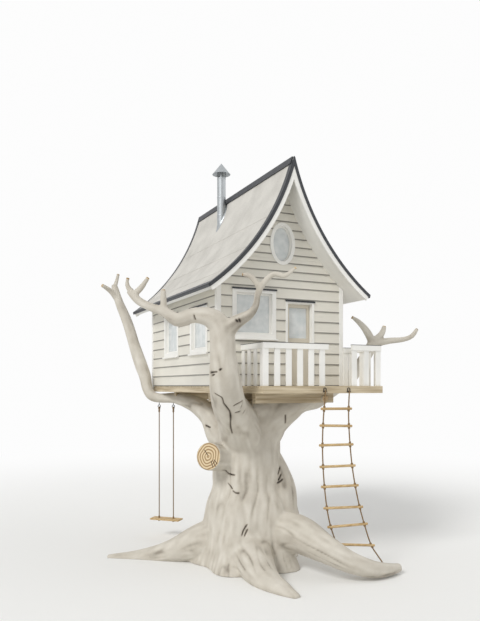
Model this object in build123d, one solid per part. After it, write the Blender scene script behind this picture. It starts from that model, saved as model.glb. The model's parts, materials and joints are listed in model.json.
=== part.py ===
from build123d import *
import os
from math import atan2, cos, degrees, hypot, pi, radians, sqrt, tan

# A timber cabin with a swept gable roof, held in the fork of a broad old tree.
# Millimetres. X runs to the right along the front wall, Y to the back, Z up.
# The origin is on the ground at the middle of the trunk.

# Cabin
FLOOR_LEVEL = 3300
CABIN_WIDTH = 2540
CABIN_DEPTH = 3670
CABIN_MIDDLE_X = 280
FRONT_FACE_Y = -750
WALL = 100
FLOOR_BOARD = 28
FLOOR_BEAM_WIDE = 70
JOIST_COUNT = 4
RIM_DEEP = 125
FRONT_WALL_HEAD = 1760
CORNER_BOARD_WIDE = 62
CORNER_BOARD_THICK = 24

# Roof: heights over the floor, and how far each slope sags below a straight one
RIDGE_UP = 3997
EAVE_UP = 1674
ROOF_SAG = 243
ROOF_THICK = 95
EAVE_OUT = 330
ROOF_OVERHANG = 400
BARGE_DEEP = 120
BARGE_THICK = 38
RIDGE_CAP_DROP = 120
RIDGE_CAP_THICK = 26
RIDGE_CAP_RISE = 12

# Door
DOOR_OFF_MIDDLE = 360
DOOR_LEAF_WIDE = 494
DOOR_LEAF_TALL = 1492
DOOR_LEAF_THICK = 42
DOOR_GAP = 5
DOOR_JAMB = 26
DOOR_CASING_WIDE = 48
DOOR_GLASS_WIDE = 370
DOOR_GLASS_TALL = 555
DOOR_GLASS_SILL = 875
HINGE_PIN_RADIUS = 6
HINGE_TALL = 76
HINGE_COUNT = 3
HINGE_CLEARANCE = 0.3
KNOB_HEIGHT = 730
KNOB_RADIUS = 22

# Windows: outer casing sizes, and where they stand
CASING_WIDE = 78
CASING_THICK = 26
SASH_WIDE = 34
SASH_THICK = 36
GLASS_THICK = 6
FRONT_WINDOW_OFF_MIDDLE = 565
FRONT_WINDOW_WIDE = 862
FRONT_WINDOW_SILL = 835
FRONT_WINDOW_TALL = 885
SIDE_WINDOW_WIDE = 870
SIDE_WINDOW_TALL = 870
SIDE_WINDOW_SILL = 600
SIDE_WINDOW_FROM_FRONT = 845
SIDE_WINDOW_FROM_BACK = 1285
OVAL_BELOW_RIDGE = 1437
OVAL_WIDE = 510
OVAL_TALL = 765
OVAL_CASING_WIDE = 66

# Porch
PORCH_LEFT_INSIDE = 420
PORCH_RIGHT_OUTSIDE = 270
PORCH_OUT = 900
PORCH_BEAM_WIDE = 45
RAIL_TOP = 715
RAIL_TALL = 95
RAIL_THICK = 60
RAIL_PAST_BOARD = 62
BALUSTER_WIDE = 105
BALUSTER_THICK = 28
BALUSTER_PITCH = 206
RAIL_INSET = 18
ENTRY_WIDE = 490
ENTRY_FROM_RIGHT = 630

# Beams between the cabin and the limbs
BEARER_WIDE = 120
BEARER_DEEP = 170
BEARER_PLACES_Y = (-1180, 180, 2130)
BEARER_INSET = 240
PORCH_BEARER_PAST_ENTRY = 140

# Stove pipe
PIPE_OFF_RIDGE = 158
PIPE_Y = 1650
PIPE_RADIUS = 90
PIPE_WALL = 4
PIPE_OVER_RIDGE = 433
CAP_RADIUS = 192
CAP_TALL = 235
CAP_GAP = 75
CAP_STRAPS = 3
CAP_STRAP_WIDE = 30
COLLAR_FLARE = 60
COLLAR_TALL = 120

# Rope ladder
LADDER_ROPE = 24
RUNG_COUNT = 8
RUNG_THICK = 46
RUNG_PAST_ROPE = 62
HOOK_BAR = 12
HOOK_WIDE = 50
HOOK_TALL = 92

# Swing
SWING_ROPE = 22
SWING_STATION = 6
SWING_SEAT_TOP = 420
SWING_SEAT_LONG = 680
SWING_SEAT_WIDE = 240
SWING_SEAT_THICK = 36
EYE_RADIUS = 30
EYE_BAR = 7
EYE_DROP = 46
SWING_CLEARANCE = 0.4

CABIN_LEFT_X = CABIN_MIDDLE_X - CABIN_WIDTH / 2
CABIN_RIGHT_X = CABIN_MIDDLE_X + CABIN_WIDTH / 2
BACK_FACE_Y = FRONT_FACE_Y + CABIN_DEPTH
FLOOR_UNDERSIDE = FLOOR_LEVEL - RIM_DEEP
EAVE_REACH = CABIN_WIDTH / 2 + EAVE_OUT
ROOF_RUN = hypot(EAVE_REACH, RIDGE_UP - EAVE_UP)
SWEEP_RADIUS = (ROOF_RUN**2 / 4 + ROOF_SAG**2) / (2 * ROOF_SAG)
SWEEP_OUT = EAVE_REACH / 2 + (SWEEP_RADIUS - ROOF_SAG) * (RIDGE_UP - EAVE_UP) / ROOF_RUN
SWEEP_UP = (RIDGE_UP + EAVE_UP) / 2 + (SWEEP_RADIUS - ROOF_SAG) * EAVE_REACH / ROOF_RUN
SWEEP_CENTRE_Z = FLOOR_LEVEL + SWEEP_UP
OVAL_MIDDLE_Z = RIDGE_UP - OVAL_BELOW_RIDGE
DOOR_MIDDLE_X = CABIN_MIDDLE_X + DOOR_OFF_MIDDLE
FRONT_WINDOW_MIDDLE_X = CABIN_MIDDLE_X - FRONT_WINDOW_OFF_MIDDLE
SIDE_WINDOW_PLACES = (SIDE_WINDOW_FROM_FRONT, CABIN_DEPTH - SIDE_WINDOW_FROM_BACK)
PORCH_LEFT_X = CABIN_LEFT_X + PORCH_LEFT_INSIDE
PORCH_RIGHT_X = CABIN_RIGHT_X + PORCH_RIGHT_OUTSIDE
ENTRY_RIGHT_X = PORCH_RIGHT_X - ENTRY_FROM_RIGHT
ENTRY_LEFT_X = ENTRY_RIGHT_X - ENTRY_WIDE
PIPE_X = CABIN_MIDDLE_X - PIPE_OFF_RIDGE
PIPE_TOP = RIDGE_UP + PIPE_OVER_RIDGE
PORCH_FRONT_Y = FRONT_FACE_Y - PORCH_OUT
DOOR_OPENING_WIDE = DOOR_LEAF_WIDE + 2 * DOOR_GAP
DOOR_OPENING_TALL = DOOR_LEAF_TALL + 2 * DOOR_GAP
DOOR_ROUGH_WIDE = DOOR_OPENING_WIDE + 2 * DOOR_JAMB
DOOR_ROUGH_TALL = DOOR_OPENING_TALL + DOOR_JAMB

# Limbs of the tree: x, y, z of the heart of the wood, and its radius.
# Each starts in the trunk and leaves it at the collar, its third station.
COLLAR = 2
RING_STEP = 190


def from_corner(x, y, stations):
    """Stations measured from a corner of the cabin and its floor."""
    return [(x + right, y + back, FLOOR_LEVEL + up, radius) for right, back, up, radius in stations]


FRONT_LIMB = [
    (-110, -60, 2100, 420),
    (-330, -320, 2440, 385),
    (-570, -610, 2740, 350),
] + from_corner(
    CABIN_LEFT_X,
    FRONT_FACE_Y,
    [
        (100, -300, -334, 294),
        (-105, -620, -100, 270),
        (-210, -780, 180, 245),
        (-250, -820, 500, 205),
        (-260, -820, 760, 200),
        (-300, -800, 960, 180),
        (-450, -730, 1090, 150),
        (-650, -580, 1130, 118),
        (-850, -380, 1070, 112),
        (-1020, -190, 1210, 78),
        (-1200, 0, 1300, 66),
        (-1350, 180, 1420, 66),
        (-1440, 320, 1580, 62),
    ],
)
FRONT_LIMB_PRONGS = [
    from_corner(
        CABIN_LEFT_X,
        FRONT_FACE_Y,
        [
            (-1415, 280, 1540, 56),
            (-1470, 400, 1690, 40),
            (-1460, 400, 1810, 28),
        ],
    ),
    from_corner(
        CABIN_LEFT_X,
        FRONT_FACE_Y,
        [
            (-1400, 260, 1520, 52),
            (-1300, 160, 1630, 42),
            (-1200, 110, 1790, 30),
        ],
    ),
    from_corner(
        CABIN_LEFT_X,
        FRONT_FACE_Y,
        [
            (-1020, -190, 1200, 50),
            (-1030, -190, 1390, 44),
            (-1030, -190, 1560, 34),
        ],
    ),
    from_corner(
        CABIN_LEFT_X,
        FRONT_FACE_Y,
        [
            (-275, -815, 740, 165),
            (-180, -890, 910, 140),
            (-40, -980, 1030, 106),
            (110, -1050, 1130, 80),
            (200, -1090, 1270, 62),
            (230, -1100, 1440, 56),
            (275, -1130, 1600, 54),
        ],
    ),
    from_corner(
        CABIN_LEFT_X,
        FRONT_FACE_Y,
        [
            (255, -1120, 1540, 48),
            (160, -1080, 1690, 40),
            (80, -1040, 1750, 35),
            (10, -1000, 1760, 25),
        ],
    ),
    from_corner(
        CABIN_LEFT_X,
        FRONT_FACE_Y,
        [
            (260, -1125, 1550, 50),
            (360, -1160, 1690, 46),
            (470, -1220, 1770, 41),
            (580, -1320, 1730, 42),
            (660, -1400, 1790, 32),
            (720, -1440, 1850, 22),
        ],
    ),
]
LEFT_LIMB = [
    (-150, 60, 2090, 415),
    (-370, 400, 2420, 355),
    (-440, 800, 2700, 255),
] + from_corner(
    CABIN_LEFT_X,
    BACK_FACE_Y,
    [
        (470, -1600, -415, 190),
        (400, -1090, -315, 150),
        (350, -800, -278, 130),
        (270, -590, -255, 112),
        (25, -355, -260, 104),
        (-115, -240, -204, 112),
        (-180, -150, -40, 118),
        (-195, -50, 180, 126),
        (-245, 110, 450, 132),
        (-310, 380, 870, 126),
        (-410, 690, 1480, 115),
        (-570, 830, 1960, 92),
        (-650, 940, 2340, 70),
    ],
)
LEFT_LIMB_PRONGS = [
    from_corner(
        CABIN_LEFT_X,
        BACK_FACE_Y,
        [
            (-580, 840, 1980, 72),
            (-750, 840, 2180, 58),
            (-970, 780, 2300, 40),
        ],
    ),
    from_corner(
        CABIN_LEFT_X,
        BACK_FACE_Y,
        [
            (-640, 930, 2300, 60),
            (-570, 1040, 2460, 48),
            (-510, 1130, 2630, 34),
        ],
    ),
]
RIGHT_LIMB = [
    (80, 70, 2180, 360),
    (380, 80, 2500, 310),
    (660, 70, 2720, 255),
] + from_corner(
    CABIN_RIGHT_X,
    FRONT_FACE_Y,
    [
        (-440, 790, -350, 185),
        (-50, 830, -308, 144),
        (240, 880, -150, 145),
        (550, 930, 10, 140),
        (840, 970, 150, 135),
        (1190, 1010, 490, 120),
        (1420, 1010, 810, 115),
        (1520, 975, 1020, 105),
    ],
)
RIGHT_LIMB_PRONGS = [
    from_corner(
        CABIN_RIGHT_X,
        FRONT_FACE_Y,
        [
            (1470, 990, 910, 90),
            (1280, 985, 1180, 72),
            (1070, 965, 1350, 55),
            (950, 1015, 1440, 34),
        ],
    ),
    from_corner(
        CABIN_RIGHT_X,
        FRONT_FACE_Y,
        [
            (1520, 975, 970, 84),
            (1640, 915, 1110, 60),
            (1690, 890, 1270, 38),
        ],
    ),
    from_corner(
        CABIN_RIGHT_X,
        FRONT_FACE_Y,
        [
            (1460, 1000, 880, 88),
            (1740, 865, 955, 70),
            (2030, 730, 985, 52),
            (2220, 650, 1060, 45),
            (2320, 600, 1210, 30),
        ],
    ),
]
PORCH_LIMB = [
    (-10, -110, 2190, 420),
    (160, -240, 2460, 370),
    (300, -370, 2690, 320),
    (545, -690, 2920, 215),
    (690, -900, 3015, 118),
    (800, -1080, 3060, 78),
    (905, -1330, 3082, 58),
]

# Roots: the same, running down into the ground
ROOTS = [
    [
        (300, -250, 520, 480),
        (500, -900, 640, 350),
        (660, -1560, 520, 255),
        (930, -1850, 340, 190),
        (1300, -1990, 200, 150),
        (1640, -1970, 140, 115),
        (1990, -1860, 100, 80),
    ],
    [
        (-260, 120, 480, 500),
        (-860, 400, 340, 350),
        (-1340, 730, 140, 215),
        (-1830, 1070, 20, 130),
        (-2380, 1380, -30, 80),
    ],
    [
        (-130, -270, 380, 450),
        (-340, -940, 200, 330),
        (-400, -1470, 60, 235),
        (-340, -1940, 20, 150),
        (-260, -2250, -10, 70),
    ],
    [
        (240, 260, 460, 460),
        (640, 760, 270, 310),
        (1010, 1190, 110, 190),
        (1480, 1530, -10, 100),
    ],
    [
        (-120, 320, 430, 430),
        (-260, 960, 230, 280),
        (-520, 1490, 60, 170),
        (-690, 1950, -20, 90),
    ],
]
KNOT = [(-300, -20, 1960, 300), (-760, -190, 2020, 262), (-990, -345, 2050, 250)]
# Swellings of the trunk: over the right root, and in the fork under the porch
BUTTRESS = [
    (180, -110, 1980, 330),
    (330, -180, 1690, 345),
    (410, -215, 1360, 395),
    (430, -260, 1020, 400),
    (420, -300, 700, 470),
]
CROTCH = [
    (0, -100, 2250, 420),
    (90, -300, 2620, 330),
    (160, -430, 2880, 230),
    (190, -490, 3090, 160),
]

# Trunk: level, mean radius, and how deep its flutes are as a share of it
TRUNK_MIDDLE = (-50, 0)
TRUNK_STATIONS = [
    (0, 1010, 0.12),
    (260, 900, 0.11),
    (620, 815, 0.08),
    (1100, 740, 0.06),
    (1400, 640, 0.05),
    (1650, 640, 0.04),
    (2100, 610, 0.03),
    (2480, 595, 0.03),
    (2760, 420, 0.02),
]
FLUTES = 5
FLUTE_TURN = 40
TRUNK_POINTS = 20

# Rope ladder: where each rope hangs from, then where it crosses each rung, then its foot
LADDER_LEFT = [
    (610, -1676, 3222),
    (584, -1666, 2919),
    (576, -1642, 2623),
    (590, -1602, 2290),
    (632, -1556, 1915),
    (691, -1508, 1560),
    (766, -1466, 1175),
    (862, -1434, 845),
    (1004, -1412, 520),
    (1060, -1530, 350),
    (1075, -1700, 235),
]
LADDER_RIGHT = [
    (1092, -1676, 3222),
    (1074, -1672, 2916),
    (1086, -1666, 2615),
    (1116, -1657, 2290),
    (1166, -1645, 1918),
    (1240, -1632, 1565),
    (1340, -1619, 1190),
    (1452, -1604, 875),
    (1590, -1610, 480),
    (1690, -1690, 300),
    (1715, -1850, 160),
]


def block(x0, x1, y0, y1, z0, z1):
    """A straight-sided piece between two corners."""
    return Pos((x0 + x1) / 2, (y0 + y1) / 2, (z0 + z1) / 2) * Box(x1 - x0, y1 - y0, z1 - z0)


def joined(solids):
    """One solid, or several that touch, fused in turn."""
    whole = solids[0]
    for solid in solids[1:]:
        whole = whole + solid
    return whole


def side_by_side(solids):
    """Like pieces that don't touch, kept as separate solids of one node."""
    return Compound(children=[solid for piece in solids for solid in piece.solids()])


# Tree


def heart(route, along):
    """Place and radius of a limb's heart, on the smooth curve through its stations."""
    i = min(int(along), len(route) - 2)
    u = along - i
    before, here = route[max(i - 1, 0)], route[i]
    there, after = route[i + 1], route[min(i + 2, len(route) - 1)]
    weights = (
        -(u**3) + 2 * u**2 - u,
        3 * u**3 - 5 * u**2 + 2,
        -3 * u**3 + 4 * u**2 + u,
        u**3 - u**2,
    )
    stations = zip(before, here, there, after)
    return [sum(w * value for w, value in zip(weights, values)) / 2 for values in stations]


def limb_part(route, first, last):
    """A round limb between two of its stations: rings at even steps, joined smoothly."""
    runs = []
    for here, there in zip(route[first:last], route[first + 1 : last + 1]):
        runs.append((Vector(*there[:3]) - Vector(*here[:3])).length)
    count = max(2, round(sum(runs) / RING_STEP))
    rings = []
    across = Vector(1, 0.35, 0.1)
    for k in range(count + 1):
        left = sum(runs) * k / count
        run = 0
        while run < len(runs) - 1 and left > runs[run]:
            left = left - runs[run]
            run = run + 1
        place = first + run + min(left / runs[run], 1)
        x, y, z, radius = heart(route, place)
        behind = heart(route, max(place - 0.01, 0))
        ahead = heart(route, min(place + 0.01, len(route) - 1))
        way = (Vector(*ahead[:3]) - Vector(*behind[:3])).normalized()
        across = (across - way * across.dot(way)).normalized()
        rings.append(Plane(origin=(x, y, z), x_dir=across, z_dir=way) * Circle(radius))
    return loft(rings)


def limb(route):
    """A whole round limb or root."""
    return limb_part(route, 0, len(route) - 1)


def fluted_ring(level, radius, depth):
    """The trunk's section at one level: a closed curve with shallow flutes."""
    points = []
    for i in range(TRUNK_POINTS):
        turn = 2 * pi * i / TRUNK_POINTS
        reach = radius * (1 + depth * cos(FLUTES * turn - radians(FLUTE_TURN)))
        points.append(Vector(*TRUNK_MIDDLE, level) + Vector(reach, 0, 0).rotate(Axis.Z, degrees(turn)))
    return Face(Wire([Spline(*points, periodic=True)]))


def trunk():
    """Trunk with its spreading roots, the sawn knot and the foot of every limb."""
    column = loft([fluted_ring(*station) for station in TRUNK_STATIONS])
    feet = [limb_part(route, 0, COLLAR) for route in (FRONT_LIMB, LEFT_LIMB, RIGHT_LIMB, PORCH_LIMB)]
    swellings = [limb(route) for route in ROOTS + [KNOT, BUTTRESS, CROTCH]]
    whole = joined([column] + feet + swellings)
    reach = 4 * TRUNK_STATIONS[0][1]
    return whole - block(-reach, reach, -reach, reach, -reach, 0)


def forked(route, prongs):
    """A limb beyond its collar, with the smaller limbs that leave it."""
    return joined([limb_part(route, COLLAR, len(route) - 1)] + [limb(prong) for prong in prongs])


# Floor


def bearer(y, limbs):
    """A beam under the floor, scribed over the limbs that carry it."""
    left = CABIN_LEFT_X + BEARER_INSET
    right = CABIN_RIGHT_X - BEARER_INSET
    if y < FRONT_FACE_Y:
        left = PORCH_LEFT_X + FLOOR_BEAM_WIDE
        right = ENTRY_RIGHT_X - PORCH_BEARER_PAST_ENTRY
    half = BEARER_WIDE / 2
    beam = block(left, right, y - half, y + half, FLOOR_UNDERSIDE - BEARER_DEEP, FLOOR_UNDERSIDE)
    for carrier in limbs:
        beam = beam - carrier
    return beam


def frame_of_beams(x0, x1, y0, y1, beam, joists):
    """A level frame: four edge beams with joists between them."""
    top = FLOOR_LEVEL - FLOOR_BOARD
    frame = block(x0, x1, y0, y1, FLOOR_UNDERSIDE, top)
    bays = joists + 1
    bay = (x1 - x0 - beam * (bays + 1)) / bays
    for i in range(bays):
        left = x0 + beam + i * (bay + beam)
        frame = frame - block(left, left + bay, y0 + beam, y1 - beam, FLOOR_UNDERSIDE, top)
    return frame


# Cabin


def roof_height(radius, reach):
    """Height of the arc of this radius, at this distance from the ridge."""
    return SWEEP_CENTRE_Z - sqrt(radius**2 - (SWEEP_OUT - reach) ** 2)


def sweep_arc(side, radius, reach0, reach1):
    """Part of a roof arc in the XZ plane; side is 1 right of the ridge and -1 left."""

    def at(reach):
        return Vector(CABIN_MIDDLE_X + side * reach, 0, roof_height(radius, reach))

    return ThreePointArc(at(reach0), at((reach0 + reach1) / 2), at(reach1))


def closed_face(edges):
    """A flat face whose outline is these edges, with straight lines closing it."""
    outline = []
    for i, edge in enumerate(edges):
        outline.append(edge)
        following = edges[(i + 1) % len(edges)]
        if (edge @ 1 - following @ 0).length > 1e-6:
            outline.append(Line(edge @ 1, following @ 0))
    return Face(Wire(outline))


def pulled_back(face, y0, y1):
    """The face, drawn in the XZ plane, made solid between two depths."""
    return Pos(0, y0, 0) * extrude(face, amount=y1 - y0, dir=(0, 1, 0))


def roof_band(side, outer, inner, y0, y1):
    """A strip of the sweep between two arcs, cut square to the roof at the eave."""
    tip_outer = SWEEP_OUT - (SWEEP_OUT - EAVE_REACH) * outer / SWEEP_RADIUS
    tip_inner = SWEEP_OUT - (SWEEP_OUT - EAVE_REACH) * inner / SWEEP_RADIUS
    top = sweep_arc(side, outer, 0, tip_outer)
    under = sweep_arc(side, inner, tip_inner, 0)
    return pulled_back(closed_face([top, under]), y0, y1)


def under_roof():
    """The space below the roof between the cabin's outer faces."""
    reach = CABIN_WIDTH / 2
    radius = SWEEP_RADIUS + ROOF_THICK
    right = sweep_arc(1, radius, reach, 0)
    left = sweep_arc(-1, radius, 0, reach)
    sill = Line((CABIN_LEFT_X, 0, FLOOR_LEVEL), (CABIN_RIGHT_X, 0, FLOOR_LEVEL))
    return pulled_back(closed_face([right, left, sill]), FRONT_FACE_Y, BACK_FACE_Y)


def end_wall_hole(x, sill, wide, tall, y):
    """A straight hole through an end wall whose outer or inner face is at y."""
    base = FLOOR_LEVEL + sill
    return block(x - wide / 2, x + wide / 2, y - 2 * WALL, y + 2 * WALL, base, base + tall)


def oval_solid(wide, tall, y0, y1):
    """An upright oval between two depths, on the cabin's middle."""
    middle = (CABIN_MIDDLE_X, y0, FLOOR_LEVEL + OVAL_MIDDLE_Z)
    upright = Plane(origin=middle, x_dir=(1, 0, 0), z_dir=(0, 1, 0))
    return extrude(upright * Ellipse(wide / 2, tall / 2), amount=y1 - y0)


def rough_opening(outer):
    """The hole in the wall behind a casing of this outer size."""
    return outer - 2 * CASING_WIDE + 2 * SASH_WIDE


def end_walls(space):
    """Front wall in three pieces round the door, and the back wall."""
    door_left = DOOR_MIDDLE_X - DOOR_ROUGH_WIDE / 2
    door_right = DOOR_MIDDLE_X + DOOR_ROUGH_WIDE / 2
    inner = FRONT_FACE_Y + WALL
    head = FLOOR_LEVEL + FRONT_WALL_HEAD
    window = end_wall_hole(
        FRONT_WINDOW_MIDDLE_X,
        FRONT_WINDOW_SILL + CASING_WIDE - SASH_WIDE,
        rough_opening(FRONT_WINDOW_WIDE),
        rough_opening(FRONT_WINDOW_TALL),
        FRONT_FACE_Y,
    )
    left = block(CABIN_LEFT_X, door_left, FRONT_FACE_Y, inner, FLOOR_LEVEL, head) - window
    right = block(door_right, CABIN_RIGHT_X, FRONT_FACE_Y, inner, FLOOR_LEVEL, head)
    ridge = head + SWEEP_UP
    gable = block(CABIN_LEFT_X, CABIN_RIGHT_X, FRONT_FACE_Y, inner, head, ridge)
    over_door = FLOOR_LEVEL + DOOR_ROUGH_TALL
    gable = gable + block(door_left, door_right, FRONT_FACE_Y, inner, over_door, head)
    oval_wide = OVAL_WIDE - 2 * OVAL_CASING_WIDE + 2 * SASH_WIDE
    oval_tall = OVAL_TALL - 2 * OVAL_CASING_WIDE + 2 * SASH_WIDE
    gable = (gable & space) - oval_solid(oval_wide, oval_tall, FRONT_FACE_Y, inner)
    back_inner = BACK_FACE_Y - WALL
    back_window = end_wall_hole(
        CABIN_MIDDLE_X,
        SIDE_WINDOW_SILL + CASING_WIDE - SASH_WIDE,
        rough_opening(SIDE_WINDOW_WIDE),
        rough_opening(SIDE_WINDOW_TALL),
        BACK_FACE_Y,
    )
    back = block(CABIN_LEFT_X, CABIN_RIGHT_X, back_inner, BACK_FACE_Y, FLOOR_LEVEL, ridge) & space
    back = back - back_window - oval_solid(oval_wide, oval_tall, back_inner, BACK_FACE_Y)
    return {
        "front_wall_left": left,
        "front_wall_right": right,
        "front_gable": gable,
        "back_wall": back,
    }


def side_wall(side, space):
    """A long wall under the eave, bevelled to the roof, with two windows."""
    outer = CABIN_MIDDLE_X + side * CABIN_WIDTH / 2
    inner = outer - side * WALL
    x0, x1 = min(outer, inner), max(outer, inner)
    ridge = FLOOR_LEVEL + RIDGE_UP
    wall = block(x0, x1, FRONT_FACE_Y + WALL, BACK_FACE_Y - WALL, FLOOR_LEVEL, ridge) & space
    wide = rough_opening(SIDE_WINDOW_WIDE)
    sill = FLOOR_LEVEL + SIDE_WINDOW_SILL + CASING_WIDE - SASH_WIDE
    window_head = sill + rough_opening(SIDE_WINDOW_TALL)
    for from_front in SIDE_WINDOW_PLACES:
        y = FRONT_FACE_Y + from_front
        wall = wall - block(x0 - WALL, x1 + WALL, y - wide / 2, y + wide / 2, sill, window_head)
    return wall


def corner_board(side, end):
    """An L-shaped trim round one corner of the cabin; end is -1 front and 1 back."""
    x = CABIN_MIDDLE_X + side * CABIN_WIDTH / 2
    y = FRONT_FACE_Y if end < 0 else BACK_FACE_Y
    out_x = x + side * CORNER_BOARD_THICK
    out_y = y + end * CORNER_BOARD_THICK
    in_x = x - side * CORNER_BOARD_WIDE
    in_y = y - end * CORNER_BOARD_WIDE
    top = FLOOR_LEVEL + SWEEP_UP
    on_porch = end < 0 and side > 0
    foot = FLOOR_LEVEL if on_porch else FLOOR_UNDERSIDE
    shape = block(*sorted((in_x, out_x)), *sorted((in_y, out_y)), foot, top)
    wall_zone = block(*sorted((in_x, x)), *sorted((in_y, y)), foot, top)
    reach = CABIN_WIDTH / 2 + CORNER_BOARD_THICK
    radius = SWEEP_RADIUS + ROOF_THICK
    under = closed_face(
        [
            sweep_arc(side, radius, 0, reach),
            Line((CABIN_MIDDLE_X + side * reach, 0, FLOOR_UNDERSIDE), (CABIN_MIDDLE_X, 0, FLOOR_UNDERSIDE)),
        ]
    )
    return (shape - wall_zone) & pulled_back(under, min(in_y, out_y), max(in_y, out_y))


# Windows


def window_parts(wide, tall, turn, place):
    """Casing, lining and sash of one window, and its pane, set in a wall face.

    Drawn facing -Y with its outer wall face at y=0 and the casing's lower middle at the origin.
    """
    hole_wide = rough_opening(wide)
    hole_tall = rough_opening(tall)
    hole_base = (tall - hole_tall) / 2
    see_wide = wide - 2 * CASING_WIDE
    see_tall = tall - 2 * CASING_WIDE
    casing = block(-wide / 2, wide / 2, -CASING_THICK, 0, 0, tall)
    casing = casing - block(-see_wide / 2, see_wide / 2, -CASING_THICK, 0, CASING_WIDE, tall - CASING_WIDE)
    sash_y0 = (WALL - SASH_THICK) / 2
    lining = block(-hole_wide / 2, hole_wide / 2, 0, WALL, hole_base, hole_base + hole_tall)
    lining = lining - block(-see_wide / 2, see_wide / 2, 0, WALL, CASING_WIDE, tall - CASING_WIDE)
    inset = SASH_WIDE
    sash_y1 = sash_y0 + SASH_THICK
    sash = block(-see_wide / 2, see_wide / 2, sash_y0, sash_y1, CASING_WIDE, tall - CASING_WIDE)
    pane_wide = see_wide - 2 * inset
    pane_tall = see_tall - 2 * inset
    pane_base = CASING_WIDE + inset
    sash = sash - block(-pane_wide / 2, pane_wide / 2, 0, WALL, pane_base, pane_base + pane_tall)
    pane_y0 = (WALL - GLASS_THICK) / 2
    pane_top = pane_base + pane_tall
    pane = block(-pane_wide / 2, pane_wide / 2, pane_y0, pane_y0 + GLASS_THICK, pane_base, pane_top)
    sill_out = CASING_THICK + SASH_WIDE
    sill = block(-wide / 2 - CASING_THICK, wide / 2 + CASING_THICK, -sill_out, 0, -CASING_THICK, 0)
    frame = Location(place, (0, 0, turn)) * joined([casing, lining, sash, sill])
    return frame, Location(place, (0, 0, turn)) * pane


def oval_parts(y, side):
    """Casing, lining and sash of an oval gable window, and its pane; side is 1 in the front wall."""
    see_wide = OVAL_WIDE - 2 * OVAL_CASING_WIDE
    see_tall = OVAL_TALL - 2 * OVAL_CASING_WIDE
    hole_wide = see_wide + 2 * SASH_WIDE
    hole_tall = see_tall + 2 * SASH_WIDE
    outer = sorted((y - side * CASING_THICK, y))
    inside = sorted((y, y + side * WALL))
    sash_y = sorted((y + side * (WALL - SASH_THICK) / 2, y + side * (WALL + SASH_THICK) / 2))
    pane_y = sorted((y + side * (WALL - GLASS_THICK) / 2, y + side * (WALL + GLASS_THICK) / 2))
    casing = oval_solid(OVAL_WIDE, OVAL_TALL, *outer) - oval_solid(see_wide, see_tall, *outer)
    lining = oval_solid(hole_wide, hole_tall, *inside) - oval_solid(see_wide, see_tall, *inside)
    pane_wide = see_wide - SASH_WIDE
    pane_tall = see_tall - SASH_WIDE
    sash = oval_solid(see_wide, see_tall, *sash_y) - oval_solid(pane_wide, pane_tall, *sash_y)
    return joined([casing, lining, sash]), oval_solid(pane_wide, pane_tall, *pane_y)


def windows():
    """Every window, by the wall that holds it."""
    nodes = {}
    front_place = (FRONT_WINDOW_MIDDLE_X, FRONT_FACE_Y, FLOOR_LEVEL + FRONT_WINDOW_SILL)
    back_place = (CABIN_MIDDLE_X, BACK_FACE_Y, FLOOR_LEVEL + SIDE_WINDOW_SILL)
    front = window_parts(FRONT_WINDOW_WIDE, FRONT_WINDOW_TALL, 0, front_place)
    back = window_parts(SIDE_WINDOW_WIDE, SIDE_WINDOW_TALL, 180, back_place)
    for name, square, oval in (
        ("front", front, oval_parts(FRONT_FACE_Y, 1)),
        ("back", back, oval_parts(BACK_FACE_Y, -1)),
    ):
        nodes[name + "_window_frames"] = side_by_side([square[0], oval[0]])
        nodes[name + "_window_glass"] = side_by_side([square[1], oval[1]])
    for name, x, turn in (("left", CABIN_LEFT_X, -90), ("right", CABIN_RIGHT_X, 90)):
        frames = []
        panes = []
        for from_front in SIDE_WINDOW_PLACES:
            place = (x, FRONT_FACE_Y + from_front, FLOOR_LEVEL + SIDE_WINDOW_SILL)
            frame, pane = window_parts(SIDE_WINDOW_WIDE, SIDE_WINDOW_TALL, turn, place)
            frames.append(frame)
            panes.append(pane)
        nodes[name + "_window_frames"] = side_by_side(frames)
        nodes[name + "_window_glass"] = side_by_side(panes)
    return nodes


# Door


def door_frame():
    """Jambs and head lining the doorway, with a narrow casing on the wall face."""
    half = DOOR_OPENING_WIDE / 2
    rough = DOOR_ROUGH_WIDE / 2
    outer = half + DOOR_CASING_WIDE
    x = DOOR_MIDDLE_X
    top = FLOOR_LEVEL + DOOR_OPENING_TALL
    face = FRONT_FACE_Y
    clear = block(x - half, x + half, face - WALL, face + 2 * WALL, FLOOR_LEVEL, top)
    lining = block(x - rough, x + rough, face, face + WALL, FLOOR_LEVEL, top + DOOR_JAMB)
    casing = block(x - outer, x + outer, face - CASING_THICK, face, FLOOR_LEVEL, top + DOOR_CASING_WIDE)
    stop_y1 = face + WALL - DOOR_LEAF_THICK - DOOR_GAP
    stop = block(x - half, x + half, stop_y1 - DOOR_JAMB, stop_y1, FLOOR_LEVEL, top)
    reveal = DOOR_JAMB / 2
    stop = stop - block(x - half + reveal, x + half - reveal, face, face + WALL, FLOOR_LEVEL, top - reveal)
    return joined([lining - clear, casing - clear, stop])


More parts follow.
